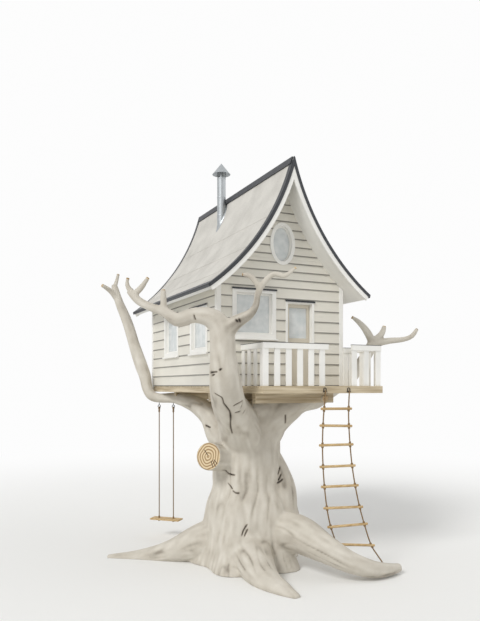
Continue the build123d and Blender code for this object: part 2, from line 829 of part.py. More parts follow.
def door_leaf():
    """The leaf, flush with the inside of the wall, and its pane."""
    x0 = DOOR_MIDDLE_X - DOOR_LEAF_WIDE / 2
    y1 = FRONT_FACE_Y + WALL
    y0 = y1 - DOOR_LEAF_THICK
    z0 = FLOOR_LEVEL + DOOR_GAP
    leaf = block(x0, x0 + DOOR_LEAF_WIDE, y0, y1, z0, z0 + DOOR_LEAF_TALL)
    gx0 = DOOR_MIDDLE_X - DOOR_GLASS_WIDE / 2
    gz0 = FLOOR_LEVEL + DOOR_GLASS_SILL
    leaf = leaf - block(gx0, gx0 + DOOR_GLASS_WIDE, y0, y1, gz0, gz0 + DOOR_GLASS_TALL)
    middle = (y0 + y1) / 2
    pane = block(
        gx0,
        gx0 + DOOR_GLASS_WIDE,
        middle - GLASS_THICK / 2,
        middle + GLASS_THICK / 2,
        gz0,
        gz0 + DOOR_GLASS_TALL,
    )
    return leaf, pane


def hinge_line():
    """Where the door's pins stand: just inside the room, over the leaf's left edge."""
    x = DOOR_MIDDLE_X - DOOR_LEAF_WIDE / 2 - DOOR_GAP / 2
    y = FRONT_FACE_Y + WALL + HINGE_PIN_RADIUS + 1
    return x, y


def door_hinges():
    """Barrels on the leaf, each with the strap that holds it."""
    x, y = hinge_line()
    barrels = []
    for i in range(HINGE_COUNT):
        z = FLOOR_LEVEL + DOOR_LEAF_TALL * (i + 0.5) / HINGE_COUNT
        barrel = Pos(x, y, z) * Cylinder(HINGE_PIN_RADIUS, HINGE_TALL / 2)
        strap_x1 = x + HINGE_TALL / 2
        strap = block(x, strap_x1, FRONT_FACE_Y + WALL, y, z - HINGE_TALL / 4, z + HINGE_TALL / 4)
        barrels.append(barrel + strap)
    return side_by_side(barrels)


def hinge_pins():
    """Lower half of each hinge, screwed to the wall beside the leaf."""
    x, y = hinge_line()
    pins = []
    for i in range(HINGE_COUNT):
        z = FLOOR_LEVEL + DOOR_LEAF_TALL * (i + 0.5) / HINGE_COUNT
        z = z - HINGE_TALL / 2 - HINGE_CLEARANCE
        barrel = Pos(x, y, z) * Cylinder(HINGE_PIN_RADIUS, HINGE_TALL / 2)
        plate = block(x - HINGE_TALL / 2, x, FRONT_FACE_Y + WALL, y, z - HINGE_TALL / 4, z + HINGE_TALL / 4)
        pins.append(barrel + plate)
    return side_by_side(pins)


def door_knobs():
    """A turned knob on each face of the leaf, near its free edge."""
    x = DOOR_MIDDLE_X + DOOR_LEAF_WIDE / 2 - KNOB_RADIUS * 2
    z = FLOOR_LEVEL + KNOB_HEIGHT
    inner = FRONT_FACE_Y + WALL
    knobs = []
    for face, way in ((inner - DOOR_LEAF_THICK, -1), (inner, 1)):
        shank = Rot(90, 0, 0) * Cylinder(KNOB_RADIUS / 2, KNOB_RADIUS)
        stem = Pos(x, face + way * KNOB_RADIUS / 2, z) * shank
        ball = Pos(x, face + way * KNOB_RADIUS * 1.5, z) * Sphere(KNOB_RADIUS)
        knobs.append(stem + ball)
    return side_by_side(knobs)


# Roof


def roof_nodes():
    """Two swept slopes, and the barge boards on their ends."""
    front = FRONT_FACE_Y - ROOF_OVERHANG
    back = BACK_FACE_Y + ROOF_OVERHANG
    outer = SWEEP_RADIUS
    inner = SWEEP_RADIUS + ROOF_THICK
    deep = SWEEP_RADIUS + BARGE_DEEP
    nodes = {}
    for name, side in (("left", -1), ("right", 1)):
        nodes["roof_" + name] = roof_band(side, outer, inner, front, back)
    boards = []
    for y0, y1 in ((front - BARGE_THICK, front), (back, back + BARGE_THICK)):
        boards.append(joined([roof_band(side, outer, deep, y0, y1) for side in (-1, 1)]))
    nodes["barge_boards"] = side_by_side(boards)
    return nodes


def ridge_cap():
    """A folded cap over the ridge, lying on both slopes."""
    lower = roof_height(SWEEP_RADIUS, 0) - RIDGE_CAP_DROP
    reach = SWEEP_OUT - sqrt(SWEEP_RADIUS**2 - (SWEEP_CENTRE_Z - lower) ** 2)
    raised = SWEEP_RADIUS - RIDGE_CAP_THICK
    halves = []
    for side in (-1, 1):
        on_roof = sweep_arc(side, SWEEP_RADIUS, 0, reach)
        over = sweep_arc(side, raised, reach + RIDGE_CAP_THICK, 0)
        halves.append(closed_face([on_roof, over]))
    front = FRONT_FACE_Y - ROOF_OVERHANG
    back = BACK_FACE_Y + ROOF_OVERHANG
    folded = joined([pulled_back(half, front, back) for half in halves])
    crest = FLOOR_LEVEL + RIDGE_UP + RIDGE_CAP_RISE
    return folded & block(CABIN_LEFT_X, CABIN_RIGHT_X, front, back, FLOOR_LEVEL, crest)


def stove_pipe():
    """A galvanised pipe standing through the left slope, open at both ends."""
    foot = roof_height(SWEEP_RADIUS + ROOF_THICK, CABIN_MIDDLE_X - PIPE_X) - PIPE_RADIUS
    top = FLOOR_LEVEL + PIPE_TOP
    centre = Pos(PIPE_X, PIPE_Y, (foot + top) / 2)
    outer = centre * Cylinder(PIPE_RADIUS, top - foot)
    pipe = outer - centre * Cylinder(PIPE_RADIUS - PIPE_WALL, top - foot)
    return pipe, outer


def pipe_collar(slope, pipe_outer):
    """A flared flashing where the pipe meets the slope."""
    seat = roof_height(SWEEP_RADIUS, CABIN_MIDDLE_X - PIPE_X)
    tall = 2 * COLLAR_TALL + COLLAR_FLARE
    centre = Pos(PIPE_X, PIPE_Y, seat + COLLAR_TALL - tall / 2 + COLLAR_FLARE)
    flare = centre * Cone(PIPE_RADIUS + COLLAR_FLARE, PIPE_RADIUS + PIPE_WALL, tall)
    collar = flare - slope - pipe_outer
    return max(collar.solids(), key=lambda solid: solid.center().Z)


def pipe_cap():
    """A cone on three straps over the open pipe."""
    top = FLOOR_LEVEL + PIPE_TOP
    base = top + CAP_GAP
    cone = Pos(PIPE_X, PIPE_Y, base + CAP_TALL / 2) * Cone(CAP_RADIUS, PIPE_WALL, CAP_TALL)
    hollow = Pos(0, 0, -2 * PIPE_WALL) * cone
    whole = cone - hollow
    foot = top - CAP_GAP / 2
    tall = base + CAP_TALL - foot
    strap = Pos(PIPE_RADIUS + PIPE_WALL / 2, 0, tall / 2) * Box(PIPE_WALL, CAP_STRAP_WIDE, tall)
    under_cone = hollow + Pos(PIPE_X, PIPE_Y, (foot + base) / 2) * Cylinder(CAP_RADIUS, base - foot)
    for i in range(CAP_STRAPS):
        turned = Pos(PIPE_X, PIPE_Y, foot) * Rot(0, 0, 360 * i / CAP_STRAPS) * strap
        whole = whole + (turned & under_cone)
    return whole


# Railings


def railing(start, end, posts_at_ends):
    """A flat top rail on upright boards that stand on the porch, between two points."""
    run = hypot(end[0] - start[0], end[1] - start[1])
    turn = degrees(atan2(end[1] - start[1], end[0] - start[0]))
    rail = block(0, run, -RAIL_THICK / 2, RAIL_THICK / 2, RAIL_TOP - RAIL_TALL, RAIL_TOP)
    inset0, inset1 = posts_at_ends
    usable = run - inset0 - inset1 - BALUSTER_WIDE
    count = max(1, round(usable / BALUSTER_PITCH))
    pitch = usable / count
    boards = []
    for i in range(count + 1):
        x = inset0 + i * pitch
        half = BALUSTER_THICK / 2
        boards.append(block(x, x + BALUSTER_WIDE, -half, half, 0, RAIL_TOP - RAIL_TALL))
    panel = joined([rail] + boards)
    return Location((start[0], start[1], FLOOR_LEVEL), (0, 0, turn)) * panel


def railings():
    """The railing panels round the porch, with the way in at the ladder."""
    edge = RAIL_INSET + RAIL_THICK / 2
    front = PORCH_FRONT_Y + edge
    left = PORCH_LEFT_X + edge
    right = PORCH_RIGHT_X - edge
    wall = FRONT_FACE_Y
    half = RAIL_THICK / 2
    none = 0
    lap = RAIL_PAST_BOARD
    side_railing = railing((right, front + half), (right, wall - RAIL_THICK), (none, none))
    corner = CABIN_RIGHT_X + CORNER_BOARD_THICK
    side_return = railing((right + half, wall - half), (corner, wall - half), (none, none))
    return {
        "railing_left": railing((left, wall), (left, front + half), (none, none)),
        "railing_front_left": railing((left - half, front), (ENTRY_LEFT_X, front), (none, lap)),
        "railing_front_right": railing((ENTRY_RIGHT_X, front), (right + half, front), (none, none)),
        "railing_right": side_railing + side_return,
    }


# Rope ladder


def rope(route, thick):
    """A hanging rope: straight runs joined by wide arcs."""
    points = [Vector(*point) for point in route]
    bends = []
    for before, here, after in zip(points, points[1:], points[2:]):
        turn = radians((here - before).get_angle(after - here))
        shorter = min((here - before).length, (after - here).length)
        bends.append(0.45 * shorter / tan(turn / 2))
    print("rope bends", [round(bend) for bend in bends])
    path = FilletPolyline(*points, radius=bends)
    section = Plane(origin=path @ 0, z_dir=path % 0) * Circle(thick / 2)
    return sweep(section, path=path)


def bar_between(a, b, thick, past):
    """A round bar from a to b, running on past both."""
    a = Vector(*a)
    b = Vector(*b)
    way = (b - a).normalized()
    start = a - way * past
    return extrude(Plane(origin=start, z_dir=way) * Circle(thick / 2), amount=(b - a).length + 2 * past)


def rungs(ropes):
    """Round rungs, each bored for the two ropes that pass through it."""
    whole = []
    for left, right in zip(LADDER_LEFT[1 : 1 + RUNG_COUNT], LADDER_RIGHT[1 : 1 + RUNG_COUNT]):
        rung = bar_between(left, right, RUNG_THICK, RUNG_PAST_ROPE)
        for line in ropes:
            rung = rung - line
        whole.append(max(rung.solids(), key=lambda solid: solid.volume))
    return side_by_side(whole)


def ladder_hooks():
    """Two bent iron staples on the porch edge that the ropes hang from."""
    hooks = []
    for top in (LADDER_LEFT[0], LADDER_RIGHT[0]):
        x = top[0]
        y = PORCH_FRONT_Y - HOOK_BAR / 2
        z = top[2]
        half = HOOK_WIDE / 2
        low = z - HOOK_BAR
        high = z + HOOK_TALL / 2
        corners = [(x - half, y, low), (x - half, y, high), (x + half, y, high), (x + half, y, low)]
        bend = FilletPolyline(*corners, radius=half * 0.9)
        staple = sweep(Plane(origin=bend @ 0, z_dir=bend % 0) * Circle(HOOK_BAR / 2), path=bend)
        past = half + HOOK_BAR
        foot = block(x - past, x + past, PORCH_FRONT_Y - HOOK_BAR, PORCH_FRONT_Y, low - HOOK_BAR, low)
        hooks.append(staple + foot)
    return side_by_side(hooks)


# Swing


def swing_line():
    """The swing's middle and the direction of its axis, under two stations of its limb."""
    right = Vector(*LEFT_LIMB[SWING_STATION][:2])
    left = Vector(*LEFT_LIMB[SWING_STATION + 1][:2])
    return (right + left) / 2, (right - left).normalized(), (right - left).length / 2


def swing_point(along, out, z):
    """A point beside the swing's middle: along its axis, out from it, and at a height."""
    middle, axis, _ = swing_line()
    x = middle.X + along * axis.X - out * axis.Y
    y = middle.Y + along * axis.Y + out * axis.X
    return x, y, z


def ring(centre, normal, radius, bar):
    """A closed ring of round bar."""
    return Plane(origin=centre, z_dir=normal) * Torus(radius, bar)


def swing_nodes(carrier, pivot_z):
    """Screw eyes in the limb, and the two ropes and the seat that hang from them."""
    _, axis, half = swing_line()
    out = Vector(-axis.Y, axis.X, 0)
    turn = degrees(atan2(axis.Y, axis.X))
    eyes = []
    nodes = {}
    rope_eye = EYE_RADIUS
    rope_centre = pivot_z + EYE_BAR + SWING_CLEARANCE + SWING_ROPE / 2 - rope_eye
    for name, along in (("left", -half), ("right", half)):
        eye_z = pivot_z + EYE_RADIUS
        eye = ring(swing_point(along, 0, eye_z), out, EYE_RADIUS, EYE_BAR)
        shank_foot = swing_point(along, 0, eye_z + EYE_RADIUS)
        shank_head = swing_point(along, 0, eye_z + 8 * EYE_RADIUS)
        shank = bar_between(shank_foot, shank_head, 2 * EYE_BAR, 0)
        shank = shank - carrier
        shank = min(shank.solids(), key=lambda solid: solid.center().Z)
        eyes.append(eye + shank)
        loop = ring(swing_point(along, 0, rope_centre), axis, rope_eye, SWING_ROPE / 2)
        line_foot = swing_point(along, 0, SWING_SEAT_TOP)
        line_head = swing_point(along, 0, rope_centre - rope_eye)
        nodes["swing_rope_" + name] = bar_between(line_foot, line_head, SWING_ROPE, 0) + loop
    seat_middle = swing_point(0, 0, SWING_SEAT_TOP - SWING_SEAT_THICK / 2)
    seat = Location(seat_middle, (0, 0, turn)) * Box(SWING_SEAT_LONG, SWING_SEAT_WIDE, SWING_SEAT_THICK)
    nodes["swing_seat"] = seat
    nodes["swing_eyes"] = side_by_side(eyes)
    return nodes


def swing_pivot_height():
    """Height of the swing's axis: a screw eye's drop below the lowest of the limb there."""
    hung_from = LEFT_LIMB[SWING_STATION : SWING_STATION + 2]
    below = min(station[2] - station[3] for station in hung_from)
    return below - EYE_DROP - 2 * EYE_RADIUS


def build():
    """Every node of the tree house, by name."""
    nodes = {}
    nodes["trunk"] = trunk()
    nodes["front_limb"] = forked(FRONT_LIMB, FRONT_LIMB_PRONGS)
    nodes["left_limb"] = forked(LEFT_LIMB, LEFT_LIMB_PRONGS)
    nodes["right_limb"] = forked(RIGHT_LIMB, RIGHT_LIMB_PRONGS)
    nodes["porch_limb"] = forked(PORCH_LIMB, []) - nodes["trunk"]
    carriers = [nodes[name] for name in ("trunk", "front_limb", "left_limb", "right_limb", "porch_limb")]
    nodes["floor_bearers"] = side_by_side([bearer(y, carriers) for y in BEARER_PLACES_Y])
    nodes["floor_frame"] = frame_of_beams(
        CABIN_LEFT_X, CABIN_RIGHT_X, FRONT_FACE_Y, BACK_FACE_Y, FLOOR_BEAM_WIDE, JOIST_COUNT
    )
    nodes["floor_boards"] = block(
        CABIN_LEFT_X, CABIN_RIGHT_X, FRONT_FACE_Y, BACK_FACE_Y, FLOOR_LEVEL - FLOOR_BOARD, FLOOR_LEVEL
    )
    nodes["porch_frame"] = frame_of_beams(
        PORCH_LEFT_X, PORCH_RIGHT_X, PORCH_FRONT_Y, FRONT_FACE_Y, PORCH_BEAM_WIDE, JOIST_COUNT
    )
    nodes["porch_boards"] = block(
        PORCH_LEFT_X, PORCH_RIGHT_X, PORCH_FRONT_Y, FRONT_FACE_Y, FLOOR_LEVEL - FLOOR_BOARD, FLOOR_LEVEL
    )
    space = under_roof()
    nodes.update(end_walls(space))
    nodes["left_wall"] = side_wall(-1, space)
    nodes["right_wall"] = side_wall(1, space)
    corners = [corner_board(side, end) for side in (-1, 1) for end in (-1, 1)]
    nodes["corner_boards"] = side_by_side(corners)
    nodes.update(windows())
    nodes["door_frame"] = door_frame()
    nodes["door_leaf"], nodes["door_glass"] = door_leaf()
    nodes["door_hinges"] = door_hinges()
    nodes["hinge_pins"] = hinge_pins()
    nodes["door_knobs"] = door_knobs()
    nodes.update(roof_nodes())
    nodes["ridge_cap"] = ridge_cap()
    slope = nodes["roof_left"]
    nodes["stove_pipe"], pipe_outer = stove_pipe()
    nodes["roof_left"] = slope - pipe_outer
    nodes["pipe_collar"] = pipe_collar(slope, pipe_outer)
    nodes["pipe_cap"] = pipe_cap()
    nodes.update(railings())
    left_rope = rope(LADDER_LEFT, LADDER_ROPE) - nodes["trunk"]
    right_rope = rope(LADDER_RIGHT, LADDER_ROPE) - nodes["trunk"]
    nodes["ladder_rope_left"] = left_rope
    nodes["ladder_rope_right"] = right_rope
    nodes["ladder_rungs"] = rungs([left_rope, right_rope])
    nodes["ladder_hooks"] = ladder_hooks()
    nodes.update(swing_nodes(nodes["left_limb"], swing_pivot_height()))
    return nodes


def main():
    """Write one STEP file for each node."""
    os.makedirs("parts", exist_ok=True)
    for name, shape in build().items():
        export_step(shape, "parts/" + name + ".step")


main()
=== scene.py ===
"""Looks of the tree house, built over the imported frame. Metres, Z up, the ground at zero."""

import json
import math

import bmesh
import bpy
import numpy as np
from bpy.props import FloatProperty, FloatVectorProperty, IntProperty, PointerProperty
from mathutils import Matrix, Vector
from mathutils.bvhtree import BVHTree


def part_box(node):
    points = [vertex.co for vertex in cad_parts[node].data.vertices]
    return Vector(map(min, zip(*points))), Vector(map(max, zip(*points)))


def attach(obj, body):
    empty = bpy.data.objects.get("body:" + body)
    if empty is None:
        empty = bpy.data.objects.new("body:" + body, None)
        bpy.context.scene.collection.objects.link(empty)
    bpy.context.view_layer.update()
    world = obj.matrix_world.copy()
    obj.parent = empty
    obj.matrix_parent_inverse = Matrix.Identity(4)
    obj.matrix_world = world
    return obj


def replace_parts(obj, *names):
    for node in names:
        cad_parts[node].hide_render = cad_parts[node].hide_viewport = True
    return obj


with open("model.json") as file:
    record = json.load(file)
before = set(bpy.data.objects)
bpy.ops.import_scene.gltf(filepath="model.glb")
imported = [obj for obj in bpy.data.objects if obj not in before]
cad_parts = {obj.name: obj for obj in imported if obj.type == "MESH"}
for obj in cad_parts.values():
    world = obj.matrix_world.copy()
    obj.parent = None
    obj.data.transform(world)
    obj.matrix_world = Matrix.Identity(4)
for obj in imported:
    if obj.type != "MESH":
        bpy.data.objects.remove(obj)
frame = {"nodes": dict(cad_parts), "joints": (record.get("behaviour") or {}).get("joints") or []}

bl_info = {
    "name": "Tree house",
    "version": (1, 0, 0),
    "blender": (4, 5, 0),
    "location": "3D View > Sidebar > Tree House",
    "description": "Bark, boards, ropes and fittings of a cabin held in an old tree",
    "category": "Object",
}

NODES = frame["nodes"]


def span(node, axis):
    """Where a CAD node begins and ends along an axis, to 0.1 mm."""
    return tuple(round(getattr(corner, axis), 4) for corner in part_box(node))


# The cabin, as the frame has it; heights in it are counted from its floor
FLOOR = span("floor_boards", "z")[1]
CABIN_X = span("floor_boards", "x")
CABIN_Y = span("floor_boards", "y")
CABIN_MIDDLE = sum(CABIN_X) / 2
WALL_HEAD = span("front_wall_left", "z")[1] - FLOOR
CORNER_BOARD = 0.062
# Each opening with its casing: width, foot and head. The side walls' two windows are placed from the front
FRONT_WINDOW = (0.862, 0.809, 1.72)
FRONT_WINDOW_MIDDLE = -0.285
DOOR = (0.6, 0, 1.55)
DOOR_MIDDLE = sum(span("door_frame", "x")) / 2
PLAIN_WINDOW = (0.87, 0.574, 1.47)
SIDE_WINDOWS = (0.845, 2.385)
SIDES = ("front", "back", "left", "right")
# The oval windows: height of the middle, width and height
OVAL = (2.56, 0.51, 0.765)

# The roof sweeps down from the ridge to the eave along one arc: its radius, and its centre's place
RIDGE_UP = span("roof_left", "z")[1] - FLOOR
EAVE_UP = 1.674
EAVE_REACH = CABIN_MIDDLE - span("roof_left", "x")[0]
ROOF_Y = span("roof_left", "y")
ROOF_SAG = 0.243
ROOF_THICK = 0.095
ROOF_RUN = math.hypot(EAVE_REACH, RIDGE_UP - EAVE_UP)
SWEEP = (ROOF_RUN**2 / 4 + ROOF_SAG**2) / (2 * ROOF_SAG)
SWEEP_OUT = EAVE_REACH / 2 + (SWEEP - ROOF_SAG) * (RIDGE_UP - EAVE_UP) / ROOF_RUN
SWEEP_UP = (RIDGE_UP + EAVE_UP) / 2 + (SWEEP - ROOF_SAG) * EAVE_REACH / ROOF_RUN
BARGE_THICK = ROOF_Y[0] - span("barge_boards", "y")[0]
# What lies on another face stands this far off it
CLEAR = 0.0005
FELT_THICK = 0.003
# Folded sheet: how thick it is drawn, how far it stands out over heads and at the roof's edges, and its lips
SHEET = 0.004
FLASHING_OUT = 0.042
FLASHING_LIP = 0.026
FLASHING_PAST = 0.012
TRIM_OUT = 0.008
TRIM_ON_FELT = 0.07
CAP_THICK = 0.007
RAIL_WIDE = 0.06

PORCH_X = span("porch_boards", "x")
PORCH_Y = span("porch_boards", "y")
BOARD_THICK = FLOOR - span("porch_boards", "z")[0]
PIPE = [sum(span("stove_pipe", axis)) / 2 for axis in "xy"]
PIPE_RADIUS = PIPE[0] - span("stove_pipe", "x")[0]
PIPE_TOP = span("stove_pipe", "z")[1]
# The dressed flashing round the pipe: (radius, height over the roof), from its top round its rim and back
SKIRT = [
    (0.0945, 0.085), (0.097, 0.083), (0.099, 0.05), (0.106, 0.026), (0.118, 0.014), (0.146, 0.011),
    (0.146, 0.007), (0.112, 0.008), (0.0945, 0.02), (0.0945, 0.085),
]

# Limbs and roots: x, y, z of the heart and the radius, in millimetres, from the trunk outwards
FRONT_LIMB = [
    (-110, -60, 2100, 420), (-330, -320, 2440, 385), (-570, -610, 2740, 350), (-890, -1050, 2966, 294),
    (-1095, -1370, 3200, 270), (-1200, -1530, 3480, 245), (-1240, -1570, 3800, 205),
    (-1250, -1570, 4060, 200), (-1290, -1550, 4260, 180), (-1440, -1480, 4390, 150),
    (-1640, -1330, 4430, 118), (-1840, -1130, 4370, 112), (-2010, -940, 4510, 78),
    (-2190, -750, 4600, 66), (-2340, -570, 4720, 66), (-2430, -430, 4880, 62),
]
LEFT_LIMB = [
    (-150, 60, 2090, 415), (-370, 400, 2420, 355), (-440, 800, 2700, 255), (-520, 1320, 2885, 190),
    (-590, 1830, 2985, 150), (-640, 2120, 3022, 130), (-720, 2330, 3045, 112), (-965, 2565, 3040, 104),
    (-1105, 2680, 3096, 112), (-1170, 2770, 3260, 118), (-1185, 2870, 3480, 126), (-1235, 3030, 3750, 132),
    (-1300, 3300, 4170, 126), (-1400, 3610, 4780, 115), (-1560, 3750, 5260, 92), (-1640, 3860, 5640, 70),
]
RIGHT_LIMB = [
    (80, 70, 2180, 360), (380, 80, 2500, 310), (660, 70, 2720, 255), (1110, 40, 2950, 185),
    (1500, 80, 2992, 144), (1790, 130, 3150, 145), (2100, 180, 3310, 140), (2390, 220, 3450, 135),
    (2740, 260, 3790, 120), (2970, 260, 4110, 115), (3070, 225, 4320, 105),
]
PORCH_LIMB = [
    (-10, -110, 2190, 420), (160, -240, 2460, 370), (300, -370, 2690, 320), (545, -690, 2920, 215),
    (690, -900, 3015, 118), (800, -1080, 3060, 78), (871, -1248, 3075, 64),
]
# Where the porch limb, let into its bearer, is sawn off flush with it
PORCH_LIMB_END = [(871, -1216, 3075, 64), (871, -1250, 3075, 64)]
FRONT_FORK = [
    (-1265, -1565, 4040, 165), (-1170, -1640, 4210, 140), (-1030, -1730, 4330, 106), (-880, -1800, 4430, 80),
    (-790, -1840, 4570, 62), (-760, -1850, 4740, 56), (-715, -1880, 4900, 54),
]
# Every prong and the knot end in a saw cut
PRONGS = [
    [(-2405, -470, 4840, 56), (-2460, -350, 4990, 40), (-2450, -350, 5110, 28)],
    [(-2390, -490, 4820, 52), (-2290, -590, 4930, 42), (-2190, -640, 5090, 30)],
    [(-2010, -940, 4500, 50), (-2020, -940, 4690, 44), (-2020, -940, 4860, 34)],
    [(-735, -1870, 4840, 48), (-830, -1830, 4990, 40), (-910, -1790, 5050, 35), (-980, -1750, 5060, 25)],
    [
        (-730, -1875, 4850, 50), (-630, -1910, 4990, 46), (-520, -1970, 5070, 41), (-410, -2070, 5030, 42),
        (-330, -2150, 5090, 32), (-270, -2190, 5150, 22),
    ],
    [(-1570, 3760, 5280, 72), (-1740, 3760, 5480, 58), (-1960, 3700, 5600, 40)],
    [(-1630, 3850, 5600, 60), (-1560, 3960, 5760, 48), (-1500, 4050, 5930, 34)],
    [(3020, 240, 4210, 90), (2830, 235, 4480, 72), (2620, 215, 4650, 55), (2500, 265, 4740, 34)],
    [(3070, 225, 4270, 84), (3190, 165, 4410, 60), (3240, 140, 4570, 38)],
    [
        (3010, 250, 4180, 88), (3290, 115, 4255, 70), (3580, -20, 4285, 52), (3770, -100, 4360, 45),
        (3870, -150, 4510, 30),
    ],
]
ROOTS = [
    [
        (300, -250, 520, 480), (500, -900, 640, 350), (660, -1560, 520, 255), (930, -1850, 340, 190),
        (1300, -1990, 200, 150), (1640, -1970, 140, 115), (1990, -1860, 100, 80),
    ],
    [
        (-260, 120, 480, 500), (-860, 400, 340, 350), (-1340, 730, 140, 215), (-1830, 1070, 20, 130),
        (-2380, 1380, -30, 80),
    ],
    [
        (-130, -270, 380, 450), (-340, -940, 200, 330), (-400, -1470, 60, 235), (-340, -1940, 20, 150),
        (-260, -2250, -10, 70),
    ],
    [(240, 260, 460, 460), (640, 760, 270, 310), (1010, 1190, 110, 190), (1480, 1530, -10, 100)],
    [(-120, 320, 430, 430), (-260, 960, 230, 280), (-520, 1490, 60, 170), (-690, 1950, -20, 90)],
]
KNOT = [(-300, -20, 1960, 300), (-760, -190, 2020, 262), (-990, -345, 2050, 250)]
BUTTRESS = [
    (180, -110, 1980, 330), (330, -180, 1690, 345), (410, -215, 1360, 395), (430, -260, 1020, 400),
    (420, -300, 700, 470),
]
CROTCH = [(0, -100, 2250, 420), (90, -300, 2620, 330), (160, -430, 2880, 230), (190, -490, 3090, 160)]
# Bark grown together in the fork between the front limb and the crotch
FORK = [(-420, -460, 2700, 290), (-160, -450, 2865, 175), (120, -440, 2905, 210)]
# The trunk: level and mean radius in millimetres, and the flutes' depth as a share of that radius
TRUNK = [
    (0, 1010, 0.12), (260, 900, 0.11), (620, 815, 0.08), (1100, 740, 0.06), (1400, 640, 0.05),
    (1650, 640, 0.04), (2100, 610, 0.03), (2480, 595, 0.03), (2760, 420, 0.02),
]
TRUNK_X = -0.05
FLUTES = 5
FLUTE_TURN = 40
# Deep wrinkles of the bark, each a line in metres: folds down the front limb, at the forks, roots and knot
WRINKLES = [
    [(-1.45, -1.51, 3.51), (-1.40, -1.70, 3.52)], [(-1.45, -1.57, 3.46), (-1.42, -1.65, 3.48)],
    [(-1.38, -1.72, 3.54), (-1.34, -1.75, 3.57)], [(-1.13, -1.80, 4.35), (-1.09, -1.82, 4.30)],
    [(-1.08, -1.82, 4.36), (-1.05, -1.83, 4.29)], [(-1.69, -1.45, 4.42), (-1.65, -1.43, 4.33)],
    [(-1.04, -1.53, 2.97), (-0.96, -1.54, 3.01), (-0.83, -1.46, 3.07)],
    [(-0.83, -1.46, 3.07), (-0.85, -1.42, 2.94)], [(-0.95, -1.40, 2.86), (-0.84, -1.37, 2.88)],
    [(-0.75, -1.28, 2.84), (-0.70, -1.27, 2.91)],
    [
        (-1.37, -1.52, 3.18), (-1.27, -1.58, 3.11), (-1.21, -1.53, 3.01), (-1.15, -1.50, 2.96),
        (-1.06, -1.43, 2.88), (-0.99, -1.31, 2.79), (-0.90, -1.10, 2.65), (-0.82, -0.94, 2.57),
        (-0.72, -0.77, 2.46),
    ],
    [(-0.83, -0.38, 2.27), (-0.70, -0.33, 2.24)], [(-0.73, 0.52, 2.55), (-0.69, 0.29, 2.52)],
    [(-0.69, -0.28, 1.77), (-0.60, -0.36, 1.72), (-0.52, -0.46, 1.70)],
    [(-0.65, -0.34, 1.55), (-0.59, -0.45, 1.45)],
    [(-0.59, -0.45, 1.43), (-0.55, -0.51, 1.40), (-0.49, -0.56, 1.40)],
    [(-0.50, -0.70, 0.66), (-0.46, -0.70, 0.76), (-0.39, -0.72, 0.86)],
    [(-0.46, -0.73, 0.65), (-0.39, -0.73, 0.78)], [(0.38, -0.50, 1.81), (0.31, -0.56, 1.68)],
    [(0.39, -0.55, 1.69), (0.31, -0.59, 1.57)], [(0.41, -0.58, 1.60), (0.28, -0.61, 1.52)],
    [(0.32, -0.79, 2.78), (0.37, -0.72, 2.60)],
]

# The ladder's ropes: the points that each hangs and lies along, in metres
LADDER_LEFT = [
    (0.610, -1.676, 3.222), (0.584, -1.666, 2.919), (0.576, -1.642, 2.623), (0.590, -1.602, 2.290),
    (0.632, -1.556, 1.915), (0.691, -1.508, 1.560), (0.766, -1.466, 1.175), (0.862, -1.434, 0.845),
    (1.004, -1.412, 0.520), (1.060, -1.530, 0.350), (1.075, -1.700, 0.235),
]
LADDER_RIGHT = [
    (1.092, -1.676, 3.222), (1.074, -1.672, 2.916), (1.086, -1.666, 2.615), (1.116, -1.657, 2.290),
    (1.166, -1.645, 1.918), (1.240, -1.632, 1.565), (1.340, -1.619, 1.190), (1.452, -1.604, 0.875),
    (1.590, -1.610, 0.480), (1.690, -1.690, 0.300), (1.715, -1.850, 0.160),
]
RUNGS = 8
RUNG_THICK = 0.046
RUNG_PAST = 0.062
# A rung's end as it was turned: (distance from the tip, share of the thickness)
RUNG_END = [
    (0, 0.55), (0.002, 0.78), (0.006, 0.93), (0.014, 1), (0.020, 1), (0.024, 0.84), (0.028, 0.84), (0.034, 1),
]
LADDER_ROPE = 0.024
SWING_ROPE = 0.022
EYE_LOOP = 0.03
LASHING = 0.011

# The drawing's camera: eye, turn, and in pixels its focal length, the picture's height and the horizon's drop
EYE = (-5.286, -10.886, 3.3)
EYE_TURN = -25
FOCAL_PIXELS = 640
PICTURE_TALL = 621
HORIZON_DROP = 75.5
# The backdrop's brightness as it is seen, and how far the floor reaches
WHITE = 0.98
FLOOR_REACH = 60


# Shapes


def smooth_line(stations, step):
    """Catmull-Rom curve through rows of numbers, resampled to even steps of its first three."""
    rows = np.asarray(stations, float)
    padded = np.vstack([rows[:1], rows, rows[-1:]])
    u = np.linspace(0, 1, 40, endpoint=False)[:, None]
    parts = []
    for i in range(len(rows) - 1):
        a, b, c, d = padded[i : i + 4]
        start = a * (-(u**3) + 2 * u**2 - u) + b * (3 * u**3 - 5 * u**2 + 2)
        stop = c * (-3 * u**3 + 4 * u**2 + u) + d * (u**3 - u**2)
        parts.append(start / 2 + stop / 2)
    return even_steps(np.vstack(parts + [rows[-1:]]), step)


def run_of(line):
    """Distance along a line to each of its points."""
    return np.r_[0, np.cumsum(np.linalg.norm(np.diff(line[:, :3], axis=0), axis=1))]


def even_steps(points, step):
    """The same line with its rows at even distances along it, measured on the first three columns."""
    run = run_of(points)
    count = max(3, int(round(run[-1] / step)) + 1)
    at = np.linspace(0, run[-1], count)
    return np.column_stack([np.interp(at, run, column) for column in points.T])


def whole_turn(count):
    """Even angles round a circle."""
    return np.linspace(0, 2 * math.pi, count, endpoint=False)


